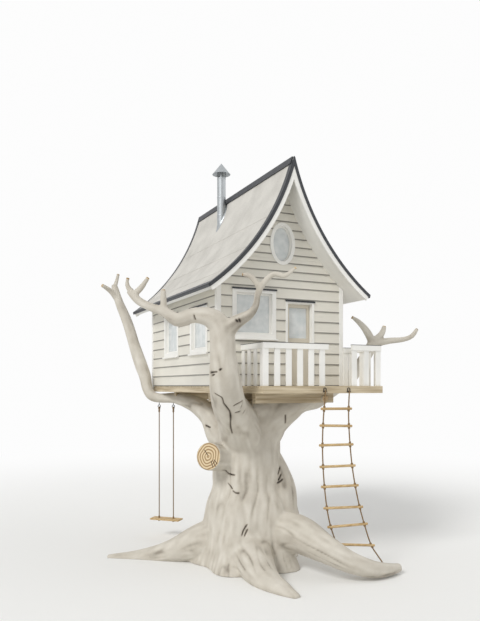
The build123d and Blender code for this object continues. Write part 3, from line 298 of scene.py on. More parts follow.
def carried_frames(line):
    """Two unit vectors across the line at each of its points, turning as little as they can."""
    way = np.gradient(line, axis=0)
    way /= np.linalg.norm(way, axis=1)[:, None]
    across = np.empty_like(way)
    side = np.array([1, 0.35, 0.1])
    for i, forward in enumerate(way):
        side = side - forward * side.dot(forward)
        side /= np.linalg.norm(side)
        across[i] = side
    return way, across, np.cross(way, across)


def tube(line, reach, around):
    """Points and faces of a closed tube: centre + reach * (across cos t + up sin t), with both ends shut.

    reach is one radius for each ring, or a radius for each ring and turn.
    """
    _, across, up = carried_frames(line)
    t = whole_turn(around)
    reach = np.broadcast_to(np.asarray(reach, float).reshape(len(line), -1), (len(line), around))
    ring = across[:, None] * np.cos(t)[None, :, None] + up[:, None] * np.sin(t)[None, :, None]
    points = (line[:, None] + ring * reach[..., None]).reshape(-1, 3)
    points = np.vstack([points, line[:1], line[-1:]])
    heart = len(points) - 2
    ends = fan(heart, 0, around, True) + fan(heart + 1, heart - around, around)
    return points, grid_faces(len(line), around) + ends


def grid_faces(rows, around):
    """Quads between neighbouring rings of points."""
    i, j = np.meshgrid(np.arange(rows - 1), np.arange(around), indexing="ij")
    k = (j + 1) % around
    quads = np.stack([i * around + j, i * around + k, (i + 1) * around + k, (i + 1) * around + j], -1)
    return quads.reshape(-1, 4).tolist()


def fan(heart, first, around, backwards=False):
    """Triangles from one point to the ring of points that starts at this number."""
    i = np.arange(around)
    j = (i + 1) % around
    if backwards:
        i, j = j, i
    return np.column_stack([np.full(around, heart), first + i, first + j]).tolist()


def pooled(pieces):
    """Several (points, faces) as one."""
    points, faces, base = [], [], 0
    for some, around in pieces:
        points.append(some)
        faces += [[base + i for i in face] for face in around]
        base += len(some)
    return np.vstack(points), faces


def turned_over(faces):
    """The same faces, looking the other way."""
    return [face[::-1] for face in faces]


def boxes(low, high):
    """Closed boxes between rows of lowest and highest corners: (points, faces)."""
    low, high = np.atleast_2d(low), np.atleast_2d(high)
    pick = np.array([[0, 0, 0], [1, 0, 0], [1, 1, 0], [0, 1, 0], [0, 0, 1], [1, 0, 1], [1, 1, 1], [0, 1, 1]])
    points = low[:, None] + (high - low)[:, None] * pick[None]
    return points.reshape(-1, 3), hexa_faces(len(low))


def hexa_faces(count):
    """The six faces of each group of eight points, bottom ring first."""
    six = np.array([[3, 2, 1, 0], [4, 5, 6, 7], [0, 1, 5, 4], [1, 2, 6, 5], [2, 3, 7, 6], [3, 0, 4, 7]])
    return (six[None] + 8 * np.arange(count)[:, None, None]).reshape(-1, 4).tolist()


def value_noise(points, seed):
    """Smooth noise from 0 to 1: random values on whole numbers, eased between them."""
    table = np.random.default_rng(seed).random(4096)
    cell = np.floor(points).astype(np.int64)
    part = points - cell
    part = part * part * (3 - 2 * part)
    total = np.zeros(len(points))
    for corner in range(8):
        step = np.array([corner & 1, corner >> 1 & 1, corner >> 2 & 1])
        key = (cell + step) @ np.array([73, 1231, 3571]) & 4095
        total += table[key] * np.prod(np.where(step, part, 1 - part), axis=1)
    return total


def show(name, mesh, finish, body="house"):
    """An object with this mesh and finish, riding on a body."""
    mesh.materials.clear()
    mesh.materials.append(finish_of(finish))
    piece = bpy.data.objects.new(name, mesh)
    bpy.context.scene.collection.objects.link(piece)
    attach(piece, body)
    return piece


def shade(mesh, smooth):
    """Smooth shading with edges sharper than the angle kept crisp."""
    mesh.shade_smooth()
    mesh.set_sharp_from_angle(angle=math.radians(smooth))
    mesh.validate()
    mesh.update()


def new_piece(name, shape, finish, slot, smooth=35, body="house", **values):
    """A piece from (points, faces); values are a number for each point."""
    points, faces = shape
    mesh = bpy.data.meshes.new(name)
    mesh.from_pydata(np.asarray(points).tolist(), [], faces)
    store(mesh, **values)
    shade(mesh, smooth)
    return show(name, mesh, finish, body)


def store(mesh, **values):
    """Numbers kept at a mesh's points for its finish to read."""
    for key, numbers in values.items():
        layer = mesh.attributes.new(key, "FLOAT", "POINT")
        layer.data.foreach_set("value", np.asarray(numbers, np.float32))


def rounded(piece, width):
    """Edges eased to this radius, as a plane or sandpaper leaves them."""
    bevel = piece.modifiers.new("eased", "BEVEL")
    bevel.width = width
    bevel.segments = 2
    bevel.limit_method = "ANGLE"
    bevel.angle_limit = math.radians(40)
    bevel.harden_normals = True


def eased_copy(name, nodes, finish, width, body="house"):
    """CAD nodes as joinery: their faces merged, their edges eased."""
    bm = bmesh.new()
    for node in nodes:
        bm.from_mesh(NODES[node].data)
    bmesh.ops.remove_doubles(bm, verts=bm.verts, dist=2e-5)
    bmesh.ops.dissolve_limit(bm, angle_limit=math.radians(1), verts=bm.verts, edges=bm.edges)
    mesh = bpy.data.meshes.new(name)
    bm.to_mesh(mesh)
    bm.free()
    shade(mesh, 35)
    piece = show(name, mesh, finish, body)
    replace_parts(piece, *nodes)
    rounded(piece, width)


def dress(finish, *nodes):
    """CAD nodes that show as they are, in a finish."""
    for node in nodes:
        NODES[node].data.materials.clear()
        NODES[node].data.materials.append(finish_of(finish))


# Finishes


def settings():
    return bpy.context.scene.tree_house


def linear(colour):
    """An sRGB hex colour, or three sRGB numbers, as linear RGBA."""
    if isinstance(colour, str):
        colour = [int(colour[i : i + 2], 16) / 255 for i in (1, 3, 5)]
    shares = [c / 12.92 if c <= 0.04045 else ((c + 0.055) / 1.055) ** 2.4 for c in colour]
    return (*shares, 1)


class Nodes:
    """The nodes of a material or of the world. Every number may also be another node's output."""

    def __init__(self, owner):
        owner.use_nodes = True
        self.owner = owner
        self.tree = owner.node_tree

    def add(self, kind, properties=None, **links):
        """A node of this kind, its sockets fed by name or as i and a number."""
        node = self.tree.nodes.new("ShaderNode" + kind)
        for key, value in (properties or {}).items():
            setattr(node, key, value)
        for key, value in links.items():
            self.feed(node, int(key[1:]) if key[1:].isdigit() else key.replace("_", " "), value)
        return node

    def feed(self, node, socket, value):
        if isinstance(value, bpy.types.NodeSocket):
            self.tree.links.new(value, node.inputs[socket])
        else:
            node.inputs[socket].default_value = value

    def result(self, operation, *numbers):
        """What a sum of this kind gives."""
        links = {f"i{place}": number for place, number in enumerate(numbers)}
        return self.add("Math", {"operation": operation}, **links).outputs[0]

    def weighted(self, value, weight, rest):
        """value * weight + rest."""
        return self.result("MULTIPLY_ADD", value, weight, rest)

    def remapped(self, value, low, high, to_low=0.0, to_high=1.0, eased="LINEAR"):
        """A number moved from one range to another and kept inside it."""
        links = {"Value": value, "From_Min": low, "From_Max": high, "To_Min": to_low, "To_Max": to_high}
        return self.add("MapRange", {"interpolation_type": eased}, **links).outputs[0]

    def seen(self):
        """1 for rays from the camera, off a mirror or through glass, 0 for light that falls on things."""
        path = self.add("LightPath").outputs
        seen = self.result("MAXIMUM", path["Is Camera Ray"], path["Is Glossy Ray"])
        return self.result("MAXIMUM", seen, path["Is Transmission Ray"])


class Finish(Nodes):
    """A material: its shader, the numbers that are the same all over it, and its patterns in metres."""

    def __init__(self, name, **shader):
        super().__init__(bpy.data.materials.new(name))
        self.shader = self.tree.nodes["Principled BSDF"]
        self.set(**shader)

    def set(self, **shader):
        for key, value in shader.items():
            self.feed(self.shader, key.replace("_", " "), value)

    def place(self, stretch):
        where = self.add("TexCoord").outputs["Object"]
        return self.add("Mapping", Vector=where, Scale=stretch).outputs[0]

    def noise(self, stretch, detail, distortion=0.0):
        """Cloudy noise from 0 to 1, with this many waves a metre along each axis."""
        links = {"Vector": self.place(stretch), "Scale": 1.0, "Detail": detail, "Distortion": distortion}
        return self.add("TexNoise", **links).outputs[0]

    def grain(self, axis, across, along, detail, distortion=0.0):
        """Noise drawn out along one axis."""
        stretch = [across, across, across]
        stretch["XYZ".index(axis)] = along
        return self.noise(stretch, detail, distortion)

    def cells(self, size, output):
        """Cells with this many to a metre."""
        return self.add("TexVoronoi", Vector=self.place((size, size, size)), Scale=1.0).outputs[output]

    def stored(self, name):
        """A number kept at the mesh's points."""
        return self.add("Attribute", {"attribute_name": name}).outputs["Fac"]

    def colours(self, share, *stops):
        """The surface's colour from a number: stops are (place, hex colour)."""
        self.set(Base_Color=self.ramp(share, *stops))

    def ramp(self, share, *stops):
        node = self.add("ValToRGB", Fac=share)
        band = node.color_ramp
        for element, (place, colour) in zip(band.elements, (stops[0], stops[-1])):
            element.position = place
            element.color = linear(colour)
        for place, colour in stops[1:-1]:
            band.elements.new(place).color = linear(colour)
        return node.outputs["Color"]

    def shaded(self, colour, grey):
        """The surface's colour as one colour times a grey."""
        multiply = {"data_type": "RGBA", "blend_type": "MULTIPLY"}
        self.set(Base_Color=self.add("Mix", multiply, i0=1.0, i6=linear(colour), i7=grey).outputs[2])

    def relief(self, height, distance, strength):
        self.set(Normal=self.add("Bump", Height=height, Distance=distance, Strength=strength).outputs[0])


def bark_finish():
    """Smooth old bark, as beech has: silver grey, matt, with a fine pebble, and painted shade darkening its
    creases and wrinkles.
    """
    bark = Finish("beech_bark", Roughness=0.86)
    # lichen and weather patches a hand wide, and a pebble of 12 mm drawn coarser than real bark's 3 mm
    patch = bark.noise((5, 5, 5), 4.0)
    pebble = bark.noise((80, 80, 80), 3.0)
    # the stored number carries painted shade: low in creases and wrinkles, it picks the ramp's near-black end
    share = bark.weighted(pebble, 0.12, bark.weighted(patch, 0.35, bark.stored("tone")))
    bark.colours(share, (0.08, "#3A342E"), (0.36, "#857D71"), (0.62, "#BFB8AB"), (0.95, "#D9D4C9"))
    bark.relief(pebble, 0.004, 0.5)
    return bark


def sawn_finish():
    """End grain of a sawn limb: pale heartwood with growth rings, dry and open, with painted shade near black
    in its cracks.
    """
    sawn = Finish("sawn_end_grain", Roughness=0.8)
    turn = sawn.weighted(sawn.noise((6, 6, 6), 4.0), 5.0, sawn.stored("ring"))
    share = sawn.remapped(sawn.result("SINE", turn), -1.0, 1.0)
    wood = sawn.ramp(share, (0.0, "#8C6E4B"), (0.3, "#C2A881"), (1.0, "#DDCBAA"))
    # painted shade: the hollows of the cracks are coloured near black
    crack = sawn.remapped(sawn.stored("crack"), 0.2, 0.7)
    shaded_cracks = sawn.add("Mix", {"data_type": "RGBA"}, i0=crack, i6=wood, i7=linear("#33261A"))
    sawn.set(Base_Color=shaded_cracks.outputs[2])
    sawn.relief(share, 0.003, 0.6)
    return sawn


def painted_finish(name, colour, along, roughness=0.5, lapped=False):
    """Brushed exterior paint on planed softwood: a low sheen, faint grain and brush marks under it.

    On lapped boards each board's paint differs a little at random, and the lowest 21 mm over each board's
    foot is darkened as painted shade.
    """
    paint = Finish(name, Roughness=roughness)
    grain = paint.grain(along, 70.0, 3.0, 4.0)
    share = paint.weighted(grain, 0.3, paint.noise((1.6, 1.6, 2.4), 4.0))
    grey = paint.remapped(share, 0.35, 0.9, 0.88, 1.0)
    if lapped:
        grey = paint.result("SUBTRACT", paint.weighted(paint.stored("board"), 0.05, grey), 0.05)
        # painted shade: within 14 mm of a board's foot the paint is darkened to 0.3, fading out by 21 mm
        grey = paint.result("MULTIPLY", grey, paint.remapped(paint.stored("foot"), 0.014, 0.021, 0.3, 1.0))
    paint.shaded(colour, grey)
    paint.relief(grain, 0.002, 0.35)
    return paint


def timber_finish(name, light, dark, along, rings=26.0):
    """Planed softwood left bare: straight grain in two tones, drawn about 20 mm wide so that it shows.

    With "XY" the grain runs along X, and along Y on faces that look along X, the sides of crossing beams.
    """
    wood = Finish(name, Roughness=0.62)
    grains = [wood.grain(axis, rings, 1.1, 5.0, 0.3) for axis in along]
    grain = grains[0]
    if len(grains) > 1:
        normal = wood.add("NewGeometry").outputs["Normal"]
        towards_x = wood.result("ABSOLUTE", wood.add("SeparateXYZ", Vector=normal).outputs[0])
        turned = wood.result("GREATER_THAN", towards_x, 0.7)
        grain = wood.add("Mix", i0=turned, i2=grains[0], i3=grains[1]).outputs[0]
    wood.colours(grain, (0.32, dark), (0.62, light))
    wood.relief(grain, 0.002, 0.4)
    return wood


def felt_finish():
    """Mineral felt: fine pale slate chips pressed in bitumen, quite matt, a little mottled."""
    felt = Finish("mineral_felt", Roughness=0.92)
    chips = felt.cells(70, "Distance")
    share = felt.weighted(chips, 0.35, felt.noise((2.2, 2.2, 2.2), 5.0))
    felt.colours(share, (0.35, "#B9B6AF"), (0.85, "#D3D0C9"))
    felt.relief(chips, 0.002, 0.5)
    return felt


def rope_finish():
    """Tarred hemp rope: dry brown fibre, three strands, with painted shade nearly black where they meet."""
    rope = Finish("tarred_hemp", Roughness=0.88)
    fibre = rope.noise((240, 240, 60), 3.0)
    # painted shade: the strand number is 0 in the grooves between strands, where the colour goes near black
    share = rope.weighted(fibre, 0.4, rope.stored("strand"))
    rope.colours(share, (0.1, "#2E241A"), (0.55, "#6B5439"), (1.0, "#8D7350"))
    rope.relief(fibre, 0.002, 0.6)
    return rope


def metal_finish(name, colour, roughness, metallic, spangle):
    """Sheet or bar metal: a soft sheen broken by the spangle of zinc or by dust."""
    metal = Finish(name, Metallic=metallic)
    grey = metal.add("RGBToBW", Color=metal.cells(38, "Color")).outputs[0]
    metal.set(Roughness=metal.remapped(grey, 0.0, 1.0, roughness - 0.08, roughness + 0.1))
    metal.shaded(colour, metal.remapped(grey, 0.0, 1.0, 1.0 - spangle, 1.0))
    return metal


def glass_finish():
    """Old window glass: a pale sky colour painted on as a reflection, a third see-through, with a slight wave
    and a little dust.
    """
    glass = Finish("window_glass", Roughness=0.06, IOR=1.52)
    dust = glass.noise((7, 7, 7), 5.0)
    # painted reflection: a pale sky colour on a pane two thirds opaque, mottled a little by dust
    glass.colours(dust, (0.3, "#E6ECEC"), (0.7, "#F6F8F7"))
    glass.set(Alpha=glass.remapped(dust, 0.25, 0.75, 0.62, 0.74))
    glass.relief(glass.noise((2.5, 2.5, 2.5), 1.0), 0.002, 0.15)
    return glass


MADE = {}


def finish_of(name):
    """Each finish is made once and shared."""
    if name not in MADE:
        wall, trim = settings().wall_colour, settings().trim_colour
        recipes = {
            "bark": (bark_finish,),
            "sawn": (sawn_finish,),
            "siding_x": (painted_finish, "siding_paint_front", wall, "X", 0.5, True),
            "siding_y": (painted_finish, "siding_paint_side", wall, "Y", 0.5, True),
            "trim": (painted_finish, "white_trim_paint", trim, "Z"),
            "trim_long": (painted_finish, "white_rail_paint", trim, "X"),
            "door": (painted_finish, "door_paint", settings().door_colour, "Z", 0.42),
            "inside": (painted_finish, "inside_paint", "#F1EFE9", "Z", 0.7),
            "deck": (timber_finish, "deck_larch", "#D6C8AD", "#A99879", "X"),
            "beam": (timber_finish, "beam_larch", "#CFC1A6", "#A08E70", "XY"),
            "turned": (timber_finish, "turned_ash", "#D3B98C", "#A98857", "X", 40.0),
            "felt": (felt_finish,),
            "rope": (rope_finish,),
            "zinc": (metal_finish, "galvanised_steel", "#B4B8BA", 0.42, 1.0, 0.16),
            "ridge": (metal_finish, "ridge_sheet", "#3C3E42", 0.5, 0.2, 0.1),
            "iron": (metal_finish, "black_iron", "#2A2A2C", 0.5, 0.6, 0.1),
            "glass": (glass_finish,),
        }
        make, *words = recipes[name]
        MADE[name] = make(*words).owner
    return MADE[name]


# Tree


WRINKLE_DEEP = 0.022
WRINKLE_HALF = 0.015
# Drying cracks in the knot's sawn face: each runs from one (turn in degrees, share of the radius) to another
CRACKS = [
    ((-52, 0.42), (-60, 0.86)), ((-36, 0.5), (-47, 0.92)),
    ((-24, 0.55), (-33, 0.9)), ((118, 0.1), (128, 0.55)),
]
CRACK_DEEP = 0.006
CRACK_HALF = 0.008


def limb_line(limb, step):
    """A limb as rows of x, y, z and radius in metres."""
    return smooth_line(np.array(limb) / 1000, step)


def tree_lines():
    """Every limb, root and the knot, at steps of 60 mm."""
    limbs = [FRONT_LIMB, LEFT_LIMB, RIGHT_LIMB, PORCH_LIMB, FRONT_FORK, BUTTRESS, CROTCH, FORK]
    limbs += PRONGS + ROOTS + [KNOT]
    return [limb_line(limb, 0.06) for limb in limbs]


def sawn_lines():
    """The limbs that end in a saw cut, at steps of 20 mm."""
    return [limb_line(limb, 0.02) for limb in [KNOT, PORCH_LIMB_END] + PRONGS]


def trunk_shape():
    """The trunk: radius(level) * (1 + depth cos(5 turn - 40 degrees)), level rising from the ground."""
    rows = np.array(TRUNK) / (1000, 1000, 1)
    level = np.linspace(0, rows[-1, 0], 70)
    fine = smooth_line(np.column_stack([rows[:, 0] * 0, rows[:, 0] * 0, rows[:, 0], rows[:, 1:]]), 0.04)
    radius = np.interp(level, fine[:, 2], fine[:, 3])
    depth = np.interp(level, fine[:, 2], fine[:, 4])
    line = np.column_stack([level * 0 + TRUNK_X, level * 0, level])
    _, across, _ = carried_frames(line)
    turn = whole_turn(120) + math.atan2(across[0][1], across[0][0])
    reach = radius[:, None] * (1 + depth[:, None] * np.cos(FLUTES * turn - math.radians(FLUTE_TURN)))
    return tube(line, reach, 120), np.column_stack([line, radius])


def nearest_on(line, points):
    """For each point: signed distance to a limb's bark, and its place in the limb straightened out."""
    way, across, up = carried_frames(line[:, :3])
    run = run_of(line)
    best = np.empty(len(points), int)
    for i in range(0, len(points), 20000):
        gap = ((points[i : i + 20000, None] - line[None, :, :3]) ** 2).sum(-1)
        best[i : i + 20000] = gap.argmin(1)
    slide = ((points - line[best, :3]) * way[best]).sum(1)
    ahead = np.clip(best + np.sign(slide).astype(int), 0, len(line) - 1)
    share = np.clip(np.abs(slide) / 0.06, 0, 1)

    def between(rows):
        return rows[best] * (1 - share[:, None]) + rows[ahead] * share[:, None]

    away = points - between(line[:, :3])
    side = np.column_stack([(away * between(across)).sum(1), (away * between(up)).sum(1)])
    gap = np.hypot(*side.T) - between(line[:, 3:])[:, 0]
    along = run[best] + slide
    past = np.maximum(0, -along) + np.maximum(0, along - run[-1])
    return np.hypot(gap, past) * np.where(past > 0.01, 1, np.sign(gap)), side, along


def bark_relief(place, seed):
    """Height and tone of bark at places in a straightened limb: long folds, and creases that come and go.

    The height is 18 mm (folds - 1/2) + 7 mm (fine - 1/2) - 12 mm crease, and the colour number is
    0.35 + 0.3 fine - 0.22 crease, darker in each crease as painted shade, with
    crease = exp(-((2 noise - 1) / 0.14)^2) where another noise lets it show.
    """
    folds = value_noise(place * (5.5, 5.5, 1.3), seed)
    fine = value_noise(place * (17, 17, 3.5), seed + 1)
    crease = np.exp(-(((2 * value_noise(place * (8, 8, 0.7), seed + 2) - 1) / 0.14) ** 2))
    crease *= np.clip((value_noise(place * (5, 5, 2.6), seed + 3) - 0.42) / 0.25, 0, 1)
    height = 0.018 * (folds - 0.5) + 0.007 * (fine - 0.5) - 0.012 * crease
    # painted shade: the colour number falls by 0.22 in a crease
    return height, 0.35 + 0.3 * fine - 0.22 * crease


def tree_skin(shape, voxel):
    """Tubes run together under one eased skin, cut off at the ground and finer along each wrinkle."""
    mesh = bpy.data.meshes.new("tree_sketch")
    mesh.from_pydata(shape[0].tolist(), [], shape[1])
    sketch = bpy.data.objects.new("tree_sketch", mesh)
    bpy.context.scene.collection.objects.link(sketch)
    remesh = sketch.modifiers.new("one_skin", "REMESH")
    remesh.mode = "VOXEL"
    remesh.voxel_size = voxel
    ease = sketch.modifiers.new("ease", "SMOOTH")
    ease.factor = 0.5
    ease.iterations = 9
    skin = bpy.data.meshes.new_from_object(sketch.evaluated_get(bpy.context.evaluated_depsgraph_get()))
    bpy.data.objects.remove(sketch)
    bm = bmesh.new()
    bm.from_mesh(skin)
    whole = bm.verts[:] + bm.edges[:] + bm.faces[:]
    bmesh.ops.bisect_plane(bm, geom=whole, plane_co=(0, 0, 0), plane_no=(0, 0, 1), clear_inner=True)
    rim = [edge for edge in bm.edges if edge.is_boundary]
    bmesh.ops.holes_fill(bm, edges=rim, sides=0)
    surface = BVHTree.FromBMesh(bm)
    spots = np.vstack([smooth_line(wrinkle, 0.02) for wrinkle in WRINKLES])
    spots = np.array([surface.find_nearest(spot)[0] for spot in spots])
    close = [vert for vert in bm.verts if ((spots - vert.co) ** 2).sum(1).min() < 0.03**2]
    edges = list({edge for vert in close for edge in vert.link_edges})
    bmesh.ops.subdivide_edges(bm, edges=edges, cuts=2, use_grid_fill=True)
    bm.to_mesh(skin)
    bm.free()
    return skin


def tree_shape(voxel):
    """Trunk, roots and limbs as one skin, then bark laid over them along each limb's own length, darkened in
    creases and wrinkles as painted shade.
    """
    column, trunk_line = trunk_shape()
    lines = tree_lines()
    skin = tree_skin(pooled([column] + [tube(line[:, :3], line[:, 3], 40) for line in lines]), voxel)
    count = len(skin.vertices)
    points = np.empty(count * 3)
    normals = np.empty(count * 3)
    skin.vertices.foreach_get("co", points)
    skin.vertices.foreach_get("normal", normals)
    points, normals = points.reshape(-1, 3), normals.reshape(-1, 3)
    total, height, tone, nearest = np.zeros(count), np.zeros(count), np.zeros(count), np.ones(count)
    for seed, line in enumerate([trunk_line] + lines):
        gap, side, along = nearest_on(line, points)
        nearest = np.minimum(nearest, gap)
        # a limb's own bark runs out over 30 mm where it meets another
        weight = np.exp(-np.clip(gap, 0, 1) / 0.03)
        some = weight > 0.02
        rise, dark = bark_relief(np.column_stack([side, along])[some], 10 * seed)
        total[some] += weight[some]
        height[some] += weight[some] * rise
        tone[some] += weight[some] * dark
    total = np.maximum(total, 1e-6)
    grounded = np.clip((points[:, 2] - 0.001) / 0.08, 0, 1)
    groove = wrinkle_depth(points)
    # easing the skin has thinned the slender limbs: they get back what they lost
    lost = np.clip(-nearest, 0, 0.02)
    moved = points + normals * ((height / total + lost) * grounded - WRINKLE_DEEP * groove)[:, None]
    moved[:, 2] = np.maximum(moved[:, 2], 0)
    for line in sawn_lines():
        # bark stops 6 mm short of each saw cut
        tip = line[-1, :3]
        way = (tip - line[-2, :3]) / np.linalg.norm(tip - line[-2, :3])
        along = (moved - tip) @ way
        near = np.linalg.norm(moved - tip - along[:, None] * way, axis=1) < 1.3 * line[-1, 3] + 0.02
        past = np.where(near & (np.abs(along) < 0.08), np.maximum(along + 0.006, 0), 0)
        moved -= past[:, None] * way
    skin.vertices.foreach_set("co", moved.ravel())
    # painted shade: the bark's colour number falls by up to 0.55 at the heart of each wrinkle
    return skin, tone / total - 0.55 * groove


def wrinkle_depth(points):
    """From 0 to 1 at the heart of a wrinkle: exp(-(d / 15 mm)^2), d being the distance over the bark."""
    depth = np.zeros(len(points))
    for wrinkle in WRINKLES:
        line = smooth_line(wrinkle, 0.01)
        reach = np.linalg.norm(line - line.mean(0), axis=1).max() + 0.12
        near = np.flatnonzero(np.linalg.norm(points - line.mean(0), axis=1) < reach)
        gap = np.linalg.norm(points[near, None] - line[None], axis=2)
        place = gap.argmin(1)
        beside = np.clip(gap.min(1) ** 2 - gap.min(0)[place] ** 2, 0, None)
        # over its last 20 mm it tapers to a third of its depth
        end = np.minimum(place, len(line) - 1 - place) * 0.01
        taper = np.clip(0.35 + end / 0.03, 0, 1)
        depth[near] = np.maximum(depth[near], taper * np.exp(-beside / WRINKLE_HALF**2))
    return depth


def crack_depth(across, up, radius):
    """From 0 to 1 at the heart of a crack: exp(-(distance / 8 mm)^2) in the plane of the sawn face."""
    depth = np.zeros(len(across))
    for ends in CRACKS:
        turn, share = np.array(ends).T
        line = np.column_stack([np.cos(np.radians(turn)), np.sin(np.radians(turn))]) * share[:, None] * radius
        line = even_steps(np.insert(line, 2, 0, axis=1), 0.006)
        gap = np.hypot(across[:, None] - line[:, 0], up[:, None] - line[:, 1]).min(1)
        depth = np.maximum(depth, np.exp(-((gap / CRACK_HALF) ** 2)))
    return depth


def sawn_ends():
    """Discs on each sawn limb, slightly domed.

    The ring number is 2 pi r / pitch * (1 + 0.05 cos(2 t + 1) + 0.03 cos(5 t)), so that no ring is round.
    """
    shapes, rings, cracks = [], [], []
    for line in sawn_lines():
        way = carried_frames(line[:, :3])[0][-1]
        tip, radius = line[-1, :3], line[-1, 3]
        # on the face, up is as near upright as it can be
        across = np.cross((0, 0, 1), way) + (1e-6, 0, 0)
        across /= np.linalg.norm(across)
        up = np.cross(way, across)
        # a mesh fine enough for the cracks on the knot
        rows, around = max(8, int(radius / 0.0035)), max(32, int(radius / 0.0009))
        r, t = np.meshgrid(np.linspace(0.02, 0.95, rows), whole_turn(around), indexing="ij")
        x, y = r * radius * np.cos(t), r * radius * np.sin(t)
        crack = 0 * x
        if radius > 0.2:
            crack = crack_depth(x.ravel(), y.ravel(), radius).reshape(x.shape)
        rise = 0.008 - 0.01 * r**6 - CRACK_DEEP * crack
        dome = tip + across * x[..., None] + up * y[..., None] + way * rise[..., None]
        back = dome[-1] - way * 0.02
        points = np.vstack([dome.reshape(-1, 3), back, dome[:1].mean(1), back.mean(0)[None]])
        heart = (rows + 1) * around
        ends = fan(heart, 0, around, True) + fan(heart + 1, heart - around, around)
        shapes.append((points, grid_faces(rows + 1, around) + ends))
        # rings 20 mm apart at the least and about five to a face, far wider than a real limb's, to show
        number = r * radius * 2 * math.pi / max(0.02, radius / 5)
        number *= 1 + 0.05 * np.cos(2 * t + 1) + 0.03 * np.cos(5 * t)
        rings.append(np.r_[number.ravel(), np.full(around, 6.0), 0, 0])
        cracks.append(np.r_[crack.ravel(), np.zeros(around + 2)])
    return pooled(shapes), np.concatenate(rings), np.concatenate(cracks)


# Cabin


def roof_reach(level):
    """How far out the roof's underside is this high: out - sqrt((sweep + thickness)^2 - (up - level)^2)."""
    drop = np.clip((SWEEP + ROOF_THICK) ** 2 - (SWEEP_UP - np.asarray(level, float)) ** 2, 0, None)
    return SWEEP_OUT - np.sqrt(drop)


def underside(reach):
    """Height of the roof's underside over the floor, this far from the ridge line."""
    return SWEEP_UP - math.sqrt((SWEEP + ROOF_THICK) ** 2 - (SWEEP_OUT - reach) ** 2)


def lapped_boards(edges, laps, holes, proud=0.02, lean=0.006):
    """Weatherboards on a wall as (across, out, up) boxes, each lap thick at its foot and thin at its head.

    edges(level) gives both ends, laps the level of every foot, holes are (low, high, left(z), right(z)).
    """
    cuts = set(np.round(laps, 4))
    for low, high, left, _ in holes:
        steps = 1 if left(low) == left((low + high) / 2) else 14
        cuts |= set(np.round(np.linspace(low, high, steps + 1), 4))
    for a, b in zip(laps, laps[1:]):
        cuts |= set(np.round(np.linspace(a, b, 3), 4))
    cuts = sorted(z for z in cuts if laps[0] <= z <= laps[-1])
    corners, tones, rises = [], [], []
    for a, b in zip(cuts, cuts[1:]):
        if b - a < 0.002:
            continue
        middle = (a + b) / 2
        foot = max(z for z in laps if z <= middle)
        head = min(z for z in laps if z > middle)
        thick = [proud - (proud - lean) * (z - foot) / (head - foot) for z in (a, b)]
        gone = [hole for hole in holes if hole[0] < middle < hole[1]]
        gone.sort(key=lambda hole: hole[2](middle))
        starts = [lambda z: edges(z)[0]] + [hole[3] for hole in gone]
        stops = [hole[2] for hole in gone] + [lambda z: edges(z)[1]]
        for count, (start, stop) in enumerate(zip(starts, stops)):
            if stop(middle) - start(middle) < 0.01:
                continue
            ends = [(start(z), max(stop(z), start(z))) for z in (a + 1e-4, b - 1e-4)]
            for z, (left, right), out in zip((a, b), ends, thick):
                corners.append([(left, out, z), (right, out, z), (right, 0, z), (left, 0, z)])
            # a shade for each board, in no order
            tones.append(round(foot * 977 + count * 31) % 97 / 97)
            # the height over each board's foot, which the finish darkens near zero as painted shade
            rises += [a - foot] * 4 + [b - foot] * 4
    points = np.array(corners).reshape(-1, 3)
    return points, hexa_faces(len(points) // 8), {"board": np.repeat(tones, 8), "foot": np.array(rises)}


def rectangle_hole(middle, opening):
    wide, low, high = opening
    return low, high, lambda z: middle - wide / 2, lambda z: middle + wide / 2


def oval_hole(height, wide, tall):
    def half(z):
        return wide / 2 * math.sqrt(max(0, 1 - ((z - height) / (tall / 2)) ** 2))

    return height - tall / 2, height + tall / 2, lambda z: -half(z), half


def swept_sheet(side, y0, y1, lift, thick, reach0, reach1, count=48):
    """A sheet on the roof, from one reach to another: x = middle + side (out - r sin a), z = up - r cos a.

    It is cut upright at its head and square to the roof at its foot; lift is there, or at its head and foot.
    """
    lift = np.linspace(*np.broadcast_to(lift, 2), count)
    rings = []
    for radius in (SWEEP - lift - thick, SWEEP - lift):
        head = math.asin((SWEEP_OUT - reach0) / radius[0])
        foot = math.asin((SWEEP_OUT - reach1) / SWEEP)
        angle = np.linspace(head, foot, count)
        x = CABIN_MIDDLE + side * (SWEEP_OUT - radius * np.sin(angle))
        z = FLOOR + SWEEP_UP - radius * np.cos(angle)
        # nothing stands above the folded crest of the ridge cap
        rings.append(np.column_stack([x, np.minimum(z, FLOOR + RIDGE_UP + 0.01)]))
    outline = np.vstack([rings[0], rings[1][::-1]])
    loop = len(outline)
    points = np.vstack([np.insert(outline, 1, y, axis=1) for y in (y0, y1)])
    i = np.arange(count - 1)
    caps = np.column_stack([i, i + 1, loop - 2 - i, loop - 1 - i])
    faces = grid_faces(2, loop) + caps[:, ::-1].tolist() + (caps + loop).tolist()
    return points, turned_over(faces) if side > 0 else faces


# Ropes


def rope_line(points):
    """The smooth line that a rope hangs along, read from a curve with these control points."""
    curve = bpy.data.curves.new("rope_line", "CURVE")
    curve.dimensions = "3D"
    curve.resolution_u = 24
    spline = curve.splines.new("NURBS")
    spline.points.add(len(points) - 1)
    spline.points.foreach_set("co", np.column_stack([points, np.ones(len(points))]).ravel())
    spline.order_u = 3
    spline.use_endpoint_u = True
    holder = bpy.data.objects.new("rope_line", curve)
    bpy.context.scene.collection.objects.link(holder)
    mesh = bpy.data.meshes.new_from_object(holder)
    line = np.empty(len(mesh.vertices) * 3)
    mesh.vertices.foreach_get("co", line)
    bpy.data.objects.remove(holder)
    return line.reshape(-1, 3)


